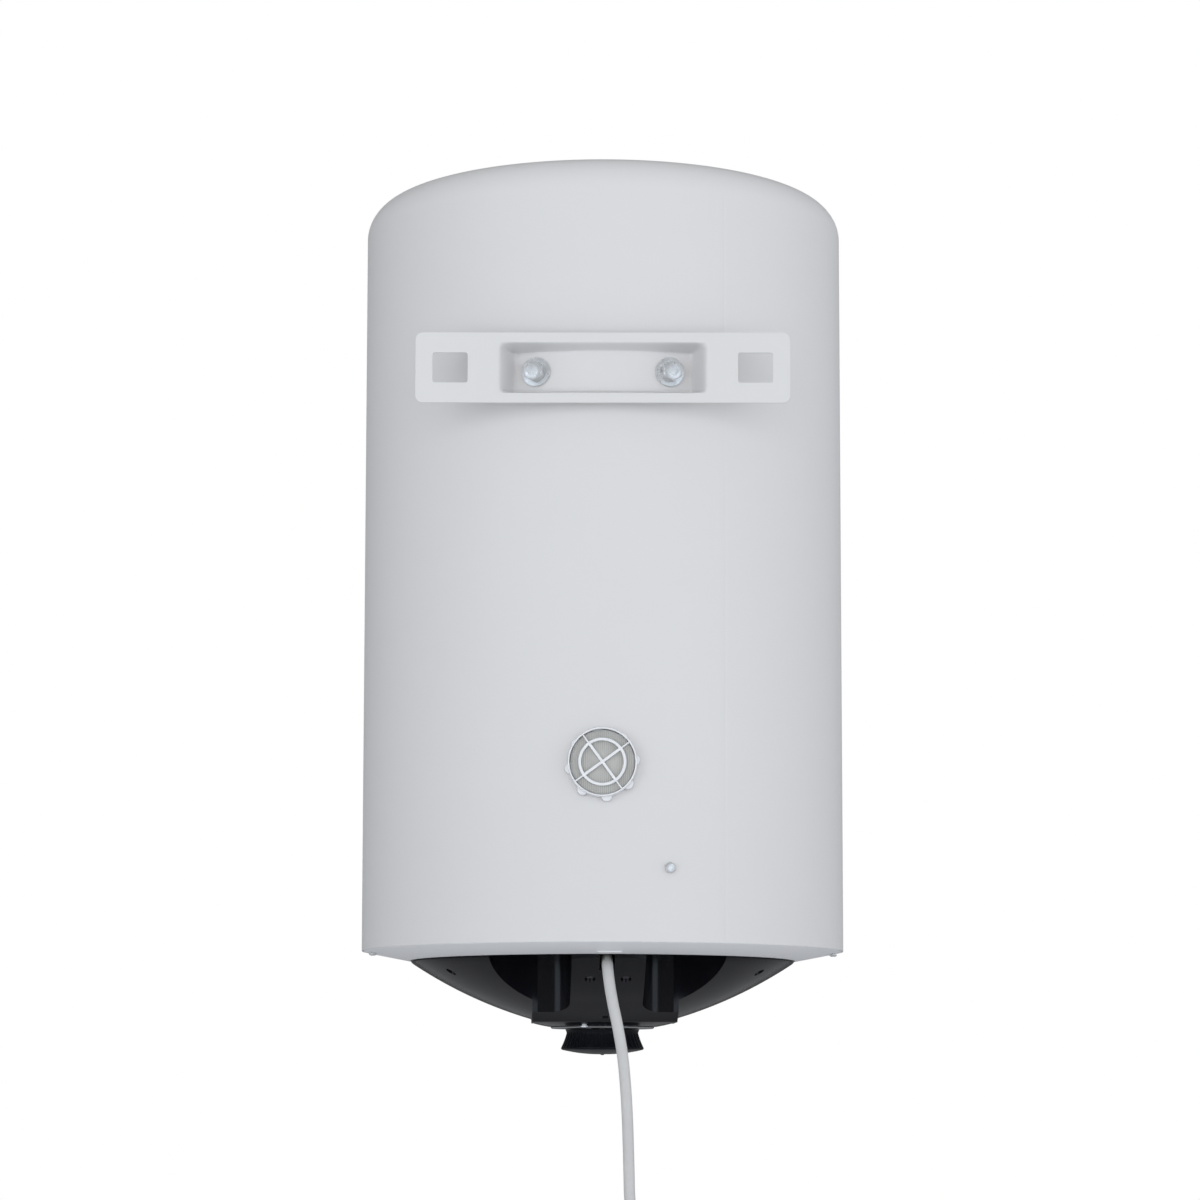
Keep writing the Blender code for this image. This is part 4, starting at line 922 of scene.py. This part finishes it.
class HEATER_OT_bracket(Operator):
    """Pressed wall bracket with its two hook holes"""

    bl_idname = "heater.bracket"
    bl_label = "Wall Bracket"

    def execute(self, context):
        xs = self.steps_across(RECESS_LENGTH / 2, RECESS_END_SLOPE, BRACKET_LENGTH / 2, (12, 16, 5))
        zs = self.steps_across(RECESS_HEIGHT / 2, RECESS_SIDE_SLOPE, BRACKET_HEIGHT / 2, (4, 16, 2))
        loops = []
        for z in zs:
            wall_side = [(x, bracket_skin(x, z, 0), z) for x in xs]
            tank_side = [(x, bracket_skin(x, z, BRACKET_SHEET), z) for x in xs]
            loops.append(wall_side + tank_side[::-1])
        pressed = loft(loops)
        outline = rounded_rectangle(BRACKET_LENGTH - 0.0002, BRACKET_HEIGHT - 0.0002, BRACKET_CORNER)
        blank = slab(outline, -AXIS.y - 0.06, -AXIS.y + 0.01)
        cuts = []
        for side in (-1, 1):
            hole = rounded_rectangle(*HOOK_HOLE, 0.0022, (side * HOOK_HOLE_X, 0))
            cuts.append(slab(hole, -AXIS.y - 0.01, -AXIS.y + 0.01))
        for node in BOLT_NODES:
            drill = prism(circle(BOLT_HOLE_RADIUS, 32), RADIUS - 0.01, RADIUS + 0.01)
            drill.transform((Matrix.Rotation(wall_angle(node), 3, "Z")
                             @ Matrix.Rotation(-math.pi / 2, 3, "X")).to_4x4())
            cuts.append(drill)
        plate = combined(pressed, ("INTERSECT", blank), ("DIFFERENCE", joined(cuts)))
        bracket = piece("bracket", plate, "white_paint", ["wall_bracket"], at=(0, 0, HOOK_HEIGHT), sharp=55)
        bevel = bracket.modifiers.new("edges", "BEVEL")
        bevel.width = context.scene.heater_sizes.edge_round
        bevel.segments = 2
        bevel.limit_method = "ANGLE"
        bevel.angle_limit = math.radians(60)
        return {"FINISHED"}

    def steps_across(self, recess, slope, edge, counts):
        """Places from edge to edge, closest together on the recess's slopes."""
        half = even_steps(0, recess - slope, counts[0])
        half += even_steps(recess - slope, recess + BRACKET_SHEET, counts[1])
        half += even_steps(recess + BRACKET_SHEET, edge, counts[2]) + [edge]
        return [-place for place in half[:0:-1]] + half


def hex_bolt(flats, head, shank_radius, shank):
    """A bolt along Z with its head's underside at the origin and the corners turned down."""
    corner = flats / 2 / math.cos(math.pi / 6)
    face = flats * 0.46

    def hexed(angle, r, z):
        if r < corner * 0.999:
            return r, z
        side = flats / 2 / math.cos((angle + math.pi / 6) % (math.pi / 3) - math.pi / 6)
        return min(side, face + (head - z) * 1.7), z

    outline = [(0, -shank), (shank_radius - 0.0006, -shank), (shank_radius, 0.0008 - shank)]
    outline += [(shank_radius, 0), (corner, 0)]
    outline += [(corner, head * share) for share in (0.55, 0.7, 0.78, 0.86, 0.93)]
    outline += [(face, head), (face * 0.62, head), (face * 0.56, head - 0.00035), (0, head - 0.00035)]
    return turned(outline, 72, hexed)


def spring_washer(inner, outer, thick):
    """A split ring whose two ends spring apart."""
    sections = []
    count = 64
    for i in range(count + 1):
        angle = math.radians(6 + 348 * i / count)
        rise = 0.0007 * (i / count - 0.5)
        square = eased([(inner, rise, 0.0002), (outer, rise, 0.0002), (outer, rise + thick, 0.0002),
                        (inner, rise + thick, 0.0002)], 2)
        sections.append([(r * math.cos(angle), r * math.sin(angle), z) for r, z in square])
    return loft(sections)


class HEATER_OT_bracket_bolts(Operator):
    """Two hex bolts with their split and plain washers"""

    bl_idname = "heater.bracket_bolts"
    bl_label = "Bracket Bolts"
    washer_thick = 0.0020
    # Inner radius, outer radius and thickness.
    split_washer = (0.0052, 0.0090, 0.0022)
    # Width across flats, head height, shank radius and shank length.
    bolt = (0.0165, 0.0064, BOLT_RADIUS, 0.030)

    def execute(self, context):
        washer = [(BOLT_HOLE_RADIUS, 0, 0.0002), (WASHER_RADIUS, 0, 0.0003),
                  (WASHER_RADIUS, self.washer_thick, 0.0007), (BOLT_HOLE_RADIUS, self.washer_thick, 0.0003)]
        for word in ("left", "right"):
            stack = (("plain_washer_", turned(eased(washer, 3), 72), "bracket_washer_", 0.0036),
                     ("split_washer_", spring_washer(*self.split_washer), "bracket_spring_washer_", 0.0059),
                     ("hex_bolt_", hex_bolt(*self.bolt), "bracket_bolt_", 0.0085))
            for name, mesh, node, stand in stack:
                at, turn = outward(wall_angle("bracket_bolt_" + word), RADIUS + stand, HOOK_HEIGHT)
                piece(name + word, mesh, "zinc_steel", [node + word], at=at, turn=turn)
        return {"FINISHED"}


class HEATER_OT_port(Operator):
    """Filling port with its grille, grip lobes and mesh, and the screw beside it"""

    bl_idname = "heater.port"
    bl_label = "Filling Port"
    base_bore = 0.0220
    base_thick = 0.0018
    # The cross in two widths: degrees, half length, width, how far it stands back.
    bars = ((36, 0.0190, 0.0024, 0.0001), (126, 0.0190, 0.0024, 0.0002),
            (36, 0.0298, 0.0013, 0.0003), (126, 0.0298, 0.0013, 0.0004))
    screw = (0.0085, 0.0032, 0.0019, 0.014)

    def execute(self, context):
        cap = eased([(self.base_bore, 0), (PORT_RADIUS + 0.0004, 0, 0.0003), (PORT_RADIUS, 0.0030, 0.001),
                     (PORT_RADIUS, PORT_STAND, 0.0005), (PORT_RADIUS - PORT_WALL, PORT_STAND, 0.0005),
                     (PORT_RADIUS - PORT_WALL, self.base_thick, 0.0003),
                     (self.base_bore, self.base_thick)], 4)
        collar = [(0.0222, -0.0095), (0.0246, -0.0095), (0.0246, 0.0009), (0.0222, 0.0009)]
        steps = [("UNION", turned(collar, 48))]
        front = PORT_STAND - 0.0005
        back = front - 0.0024
        for degrees, reach, width, lift in self.bars:
            bar = block((-reach, -width / 2, back + lift), (reach, width / 2, front - lift), 0.00035)
            steps.append(("UNION", moved(bar, turn=math.radians(degrees))))
        bore = PORT_INNER_RING - 0.0026
        inner = eased([(bore, back, 0.0004), (PORT_INNER_RING, back, 0.0004),
                       (PORT_INNER_RING, front, 0.0007), (bore, front, 0.0007)], 3)
        steps.append(("UNION", turned(inner, 96)))
        for number in range(LOBES):
            angle = math.radians(7.5 + 360 / LOBES * number)
            lobe = eased([(0, 0.0003), (0.0047, 0.0003), (0.0047, 0.0054, 0.0008), (0, 0.0054)], 3)
            spot = (LOBE_CIRCLE * math.sin(angle), 0.0016 - LOBE_CIRCLE * math.cos(angle), 0)
            steps.append(("UNION", moved(turned(lobe, 32), spot)))
        made = combined(turned(cap, 96), *steps)
        for vertex in made.vertices:
            if 0 <= vertex.co.z < 0.0005:
                vertex.co.z -= RADIUS - math.sqrt(RADIUS ** 2 - vertex.co.x ** 2)
        at, turn = outward(0, RADIUS + GAP, PORT_HEIGHT)
        piece("port_cap", made, "white_plastic", ["foam_port_cap"], at=at, turn=turn, sharp=40)
        disc = [(0, 0.0056), (MESH_RADIUS, 0.0056), (MESH_RADIUS, 0.0070, 0.0008)]
        disc += [(MESH_RADIUS * share, 0.0070 + 0.0011 * (1 - share ** 2)) for share in (0.8, 0.6, 0.4, 0.2)]
        piece("port_mesh_disc", turned(eased(disc + [(0, 0.0081)]), 96), "port_mesh", ["foam_port_mesh"],
              at=at, turn=turn)
        at, turn = outward(wall_angle("jacket_screw"), RADIUS + GAP, middle("jacket_screw").z)
        piece("earth_screw", hex_bolt(*self.screw), "zinc_steel", ["jacket_screw"], at=at, turn=turn)
        return {"FINISHED"}


def spots_round(radius, turns):
    """Places on a circle, each at its degrees from the wall side."""
    angles = [math.radians(a) for a in turns]
    return [(-radius * math.sin(a), radius * math.cos(a)) for a in angles]


COVER_SCREWS = spots_round(COVER_SCREW_RADIUS, COVER_SCREW_TURNS)
RING_SCREWS = spots_round(RING_SCREW_RADIUS, RING_SCREW_TURNS)


class HEATER_OT_ring(Operator):
    """White conical ring under the jacket"""

    bl_idname = "heater.ring"
    bl_label = "Bottom Ring"

    def execute(self, context):
        outline = [(RING_OUTER, -0.0003, 0.0006), (RING_OUTER, 0.0120), (RING_OUTER - RING_WALL, 0.0120),
                   (RING_OUTER - RING_WALL, 0.0018), (RING_INNER + RING_WALL, -RING_DROP + 0.0025),
                   (RING_INNER + RING_WALL, 0.0146), (RING_INNER, 0.0146), (RING_INNER, -RING_DROP, 0.0006)]
        steps = []
        for angle in COVER_SCREW_TURNS:
            tab = block((-0.009, 0.152, 0.0116), (0.009, 0.1805, 0.0143))
            steps.append(("UNION", moved(tab, turn=math.radians(angle))))
        steps.append(("UNION", block((-0.011, 0.1845, -0.0079), (0.011, 0.1905, -0.0030), 0.0012)))
        drills = [rod(SCREW_HOLE_RADIUS, 24, 0, 0.03, spot) for spot in COVER_SCREWS]
        drills += [rod(0.0022, 24, -0.02, 0.02, spot) for spot in RING_SCREWS]
        steps.append(("DIFFERENCE", joined(drills)))
        ring = combined(turned(eased(outline), context.scene.heater_sizes.round_steps), *steps)
        piece("bottom_ring", ring, "white_plastic", ["bottom_cap"], turn=(0, 0, COVER_TURN), sharp=30)
        return {"FINISHED"}


def dome_outline(inset):
    """Outside of the cover, or its inside at one wall thickness, from rim to centre."""
    dome = arc_through(DOME_START, DOME_MIDDLE, DOME_END, 18)
    if not inset:
        rim = [(0, COVER_TOP), (COVER_RADIUS, COVER_TOP), (COVER_RADIUS, -0.0100, 0.0010)]
        boss = [(BOSS_RADIUS, -0.0627, 0.0008), (0.0662, -0.0652), (0.0645, -0.0667, 0.003),
                (0.0573, -0.0684, 0.006), (0.0505, BOSS_FLOOR, 0.003), (0, BOSS_FLOOR)]
        return eased(rim + dome[:-1] + boss)
    lifted = [(r - inset * 0.45, z + inset * 0.9) for r, z in dome]
    return [(0, 0.03), (COVER_RADIUS - inset, 0.03), (COVER_RADIUS - inset, -0.0090)] + lifted + [
        (0.050, BOSS_FLOOR + inset), (0, BOSS_FLOOR + inset)]


def panel_block(inset):
    """The raised panel between rim and boss: a side view carried across, inside the rim's round."""
    dome = arc_through(DOME_START, DOME_MIDDLE, DOME_END, 18)
    top = 0.03 if inset else 0.004
    foot = BOSS_FLOOR + 0.0030 + inset
    back = [(r + 0.0006 - inset * 0.45, z - 0.0002 + inset * 0.9) for r, z in dome]
    back = [p for p in back if p[1] > foot + 0.017]
    outline = [(0.0, top), (back[0][0], top)] + back
    outline += [(0.0712 - inset, foot + 0.0016), (0.0700 - inset, foot + 0.0008), (0.0682 - inset, foot),
                (0.0, foot)]
    half = BOSS_RADIUS - 0.0003 - inset
    panel = loft([[(x, y, z) for y, z in outline] for x in (-half, half)])
    return combined(panel, ("INTERSECT", rod(COVER_RADIUS - 0.0002 - inset, 96, UNDER_COVER, 0.05)))


def pocket(side, grow, low, high):
    """Space around one pipe, open towards the ring, as a solid to cut with."""
    inner = 0.033 - grow
    front = 0.087 - grow
    corner = 0.017
    outline = [(inner, 0.20)] + arc((inner + corner, front + corner), corner, 180, 270, 14)
    bulge = (0.0905 + grow * 0.8, 0.108 - grow * 0.5)
    outline += arc_through((0.062, front), bulge, (0.1075 + grow, 0.150), 16)
    outline.append((0.122 + grow, 0.20))
    return prism([(side * x, y) for x, y in outline], low, high)


class HEATER_OT_cover(Operator):
    """Domed black cover with its raised panel, boss, pipe pockets and screw seats"""

    bl_idname = "heater.cover"
    bl_label = "Bottom Cover"
    post_radius = 0.0072
    pipe_way = 0.0145
    spindle_way = 0.0070
    lamp_way = 0.0026

    def execute(self, context):
        steps = context.scene.heater_sizes.round_steps
        posts = [(side * CLAMP_SCREW[0], CLAMP_SCREW[1], -0.0115, -0.0265, 0.0048) for side in (-1, 1)]
        posts += [(x, y, 0.02, -0.0165, 0.0045) for x, y in COVER_SCREWS]
        kept = [pocket(side, COVER_WALL, UNDER_COVER, 0.016) for side in (-1, 1)]
        pillars = [rod(self.post_radius, 24, -0.08, top, (x, y)) for x, y, top, _, _ in posts]
        hollow = combined(turned(dome_outline(COVER_WALL), steps // 2),
                          ("UNION", panel_block(COVER_WALL)),
                          ("DIFFERENCE", joined(kept)), ("DIFFERENCE", joined(pillars)))
        ways = [pocket(side, 0, UNDER_COVER, POCKET_ROOF) for side in (-1, 1)]
        holes = [rod(self.pipe_way, 48, 0, 0.02, (side * PIPE_PLACE[0], PIPE_PLACE[1])) for side in (-1, 1)]
        seats = [rod(wide, 32, -0.08, seat, (x, y)) for x, y, _, seat, wide in posts]
        shanks = [rod(SCREW_HOLE_RADIUS, 24, -0.03, 0.03, (x, y)) for x, y, *_ in posts]
        notch = block((NOTCH_X - 0.0067, 0.150, -0.0225), (NOTCH_X + 0.0067, 0.19, 0.02))
        small = [block((-0.0025, 0.0745, -0.08), (0.0025, 0.0795, -0.05)),
                 rod(self.spindle_way, 40, UNDER_COVER, -0.05),
                 rod(self.lamp_way, 24, UNDER_COVER, -0.05, LAMP_PLACE)]
        cuts = [hollow, joined(ways), joined(holes), joined(seats), joined(shanks), notch, joined(small)]
        cover = combined(turned(dome_outline(0), steps), ("UNION", panel_block(0)),
                         *[("DIFFERENCE", cut) for cut in cuts])
        piece("domed_cover", cover, "black_plastic",
              ["bottom_cover", "cold_pocket_liner", "hot_pocket_liner"], turn=(0, 0, COVER_TURN), sharp=24)
        return {"FINISHED"}


def pan_screw(head_radius, head, shank):
    """A screw along Z with a rounded head and a cross recess, head's underside at the origin."""
    outline = [(0, -shank), (0.0006, -shank), (0.0018, 0.0022 - shank), (0.0018, 0),
               (head_radius - 0.0002, 0), (head_radius, 0.0002)]
    outline += arc_through((head_radius, head * 0.35), (head_radius * 0.80, head * 0.82), (0.0003, head), 8)
    body = turned(outline + [(0, head)], 36)
    reach = head_radius * 0.62
    cross = [block((-reach, -0.0005, head * 0.35), (reach, 0.0005, head + 0.001)),
             block((-0.0005, -reach, head * 0.36), (0.0005, reach, head + 0.0011))]
    return combined(body, ("DIFFERENCE", cross[0]), ("DIFFERENCE", cross[1]))


class HEATER_OT_screws(Operator):
    """Cross-head screws of the ring, the cover and the lead's clamp"""

    bl_idname = "heater.screws"
    bl_label = "Screws"

    def execute(self, context):
        self.row("ring_screw_", "bottom_cap_screw_", "1234", RING_SCREWS, -0.0029, (0.0036, 0.0018, 0.011),
                 "zinc_steel")
        # The cover and clamp screws are zinc plated; their near-black finish is painted shade of their deep
        # seats.
        self.row("seated_screw_", "cover_screw_", "123", COVER_SCREWS, -0.0169, (0.0039, 0.0024, 0.0312),
                 "zinc_in_painted_shade")
        clamps = [(side * CLAMP_SCREW[0], CLAMP_SCREW[1]) for side in (-1, 1)]
        self.row("clamp_screw_", "cord_clamp_screw_", ("left", "right"), clamps, -0.0269,
                 (0.0040, 0.0024, 0.0305), "zinc_in_painted_shade")
        return {"FINISHED"}

    def row(self, name, node, words, spots, height, sizes, finish):
        """Like screws with their heads down, one for each word and spot."""
        mesh = pan_screw(*sizes)
        for word, spot in zip(words, spots):
            piece(name + word, mesh.copy(), finish, [node + word], at=cover_spot(*spot, height),
                  turn=(math.pi, 0, COVER_TURN))


class HEATER_OT_knob(Operator):
    """Flared thermostat knob with grip ribs, and the bright ring round it"""

    bl_idname = "heater.knob"
    bl_label = "Thermostat Knob"
    flare = ((0.0334, -0.0756), (0.0355, -0.0822), (0.0386, -0.0893))
    dome = ((0.0372, -0.0912), (0.0220, -0.0940), (0.0020, -0.0952))

    def execute(self, context):
        sizes = context.scene.heater_sizes
        top, bottom = self.flare[0][1], self.flare[2][1]

        def ribbed(angle, r, z):
            band = soft_step((top - z) / 0.0012) * soft_step((z - bottom) / 0.0020)
            groove = (0.5 - 0.5 * math.cos(sizes.knob_ribs * angle)) ** 1.5
            on_side = r > self.flare[0][0] - 0.0001
            return (r - sizes.rib_depth * band * groove if on_side else r), z

        outline = [(0.0034, KNOB_TOP - 0.0004), (0.0341, KNOB_TOP), (0.0345, KNOB_TOP - 0.0003),
                   (0.0337, -0.0742)]
        outline += arc_through(*self.flare, 16)
        outline += [(0.0386, -0.0900), (0.0381, -0.0908)] + arc_through(*self.dome, 12)
        outline += [(0.0016, -0.0956), (0.0011, -0.0959), (0, -0.0960), (0, -0.0868), (0.0034, -0.0868)]
        knob = turned(outline[-2:] + outline[:-2], sizes.knob_ribs * 10, ribbed)
        knob = combined(knob, ("UNION", self.pointer()))
        piece("ribbed_knob", knob, "knob_plastic", ["thermostat_knob"], body="knob", turn=(0, 0, COVER_TURN),
              sharp=35)
        trim = eased([(0.0365, BOSS_FLOOR - 0.0003), (0.0485, BOSS_FLOOR - 0.0003, 0.0003),
                      (0.0480, BOSS_FLOOR - 0.0013, 0.0008), (0.0470, BOSS_FLOOR - 0.0019, 0.0008),
                      (0.0365, BOSS_FLOOR - 0.0019, 0.0004)], 4)
        piece("bright_ring", turned(trim, 120), "silver_trim", ["knob_trim_ring"],
              turn=(0, 0, COVER_TURN))
        return {"FINISHED"}

    def pointer(self):
        """A low ridge from the knob's middle to its edge."""
        line = arc_through(*self.dome, 8)
        sections = []
        for r, z in line[:-1]:
            sections.append([(-0.0010, -r, z + 0.001), (0.0010, -r, z + 0.001), (0.0007, -r, z - 0.0006),
                             (-0.0007, -r, z - 0.0006)])
        return loft(sections)


class HEATER_OT_lamp(Operator):
    """Small lamp lens in the boss"""

    bl_idname = "heater.lamp"
    bl_label = "Indicator Lamp"

    def execute(self, context):
        lens = [(0, -0.0022), (0.0012, -0.00215), (0.0024, -0.00185), (0.0032, -0.0014), (0.0036, -0.0010),
                (0.0036, -0.0008), (0.0022, -0.0008), (0.0022, 0.0100), (0, 0.0100)]
        piece("lamp_lens", turned(lens, 48), "lamp_lens", ["indicator_lamp"],
              at=cover_spot(*LAMP_PLACE, BOSS_FLOOR + 0.0006))
        return {"FINISHED"}


class HEATER_OT_pipes(Operator):
    """Threaded cold and hot water pipes with their coloured rings"""

    bl_idname = "heater.pipes"
    bl_label = "Water Pipes"

    def execute(self, context):
        sizes = context.scene.heater_sizes
        for word, side, top, finish in (("cold_inlet", 1, 0.110, "blue_plastic"),
                                        ("hot_outlet", -1, 0.600, "red_plastic")):
            at = cover_spot(side * PIPE_PLACE[0], PIPE_PLACE[1])

            def threaded(angle, r, z):
                if r < PIPE_RADIUS or z > 0.020:
                    return r, z
                wave = (z / sizes.thread_pitch - angle / math.tau) % 1
                fade = soft_step((z - PIPE_END) / 0.001) * soft_step((0.0195 - z) / 0.002)
                return r - sizes.thread_depth * fade * (1 - abs(2 * wave - 1)), z

            threads = even_steps(PIPE_END + 0.0008, 0.020, 92)
            outline = [(PIPE_BORE, PIPE_END + 0.0004), (PIPE_BORE + 0.0004, PIPE_END),
                       (PIPE_RADIUS - 0.0006, PIPE_END), *[(PIPE_RADIUS, z) for z in threads],
                       (PIPE_RADIUS, top), (PIPE_BORE, top)]
            piece(word + "_nipple", turned(outline, 60, threaded), "pipe_steel", [word + "_pipe"], at=at)
            collar = eased([(PIPE_RADIUS + 0.0006, 0.0048, 0.0003), (0.0158, 0.0048, 0.0009),
                            (0.0158, 0.0077), (PIPE_RADIUS + 0.0006, 0.0077)], 4)
            piece(word + "_collar", turned(collar, 72), finish, [word + "_ring"], at=at)
        return {"FINISHED"}


class HEATER_OT_inside(Operator):
    """Finishes of the tank, foam, flange, heating and switching parts inside"""

    bl_idname = "heater.inside"
    bl_label = "Inside Parts"

    def execute(self, context):
        for part in frame["record"]["subparts"]:
            node = frame["nodes"][part["node"]]
            if node.hide_render:
                continue
            node.data.materials.clear()
            node.data.materials.append(surface(part["material_slot"]))
        return {"FINISHED"}


OPERATORS = (HEATER_OT_studio, HEATER_OT_cord, HEATER_OT_jacket, HEATER_OT_bracket, HEATER_OT_bracket_bolts,
             HEATER_OT_port, HEATER_OT_ring, HEATER_OT_cover, HEATER_OT_screws, HEATER_OT_knob,
             HEATER_OT_lamp, HEATER_OT_pipes, HEATER_OT_inside)
GROUPS_OF_VALUES = {
    "heater_sizes": HeaterSizes,
    "heater_colours": HeaterColours,
    "heater_studio": HeaterStudio,
}


class HEATER_PT_sidebar(Panel):
    """Lists the heater's pieces and the values they read"""

    bl_idname = "HEATER_PT_sidebar"
    bl_label = "Water Heater"
    bl_space_type = "VIEW_3D"
    bl_region_type = "UI"
    bl_category = "Heater"

    def draw(self, context):
        for name, kind in GROUPS_OF_VALUES.items():
            box = self.layout.box()
            for value in kind.__annotations__:
                box.prop(getattr(context.scene, name), value)
        for operator in OPERATORS:
            self.layout.operator(operator.bl_idname)


def register():
    for kind in (*GROUPS_OF_VALUES.values(), *OPERATORS, HEATER_PT_sidebar):
        bpy.utils.register_class(kind)
    for name, kind in GROUPS_OF_VALUES.items():
        setattr(bpy.types.Scene, name, PointerProperty(type=kind))


def unregister():
    for name in GROUPS_OF_VALUES:
        delattr(bpy.types.Scene, name)
    for kind in (HEATER_PT_sidebar, *OPERATORS, *GROUPS_OF_VALUES.values()):
        bpy.utils.unregister_class(kind)


def main():
    register()
    for operator in OPERATORS:
        getattr(bpy.ops.heater, operator.bl_idname.split(".")[1])()


if __name__ == "__main__":
    main()
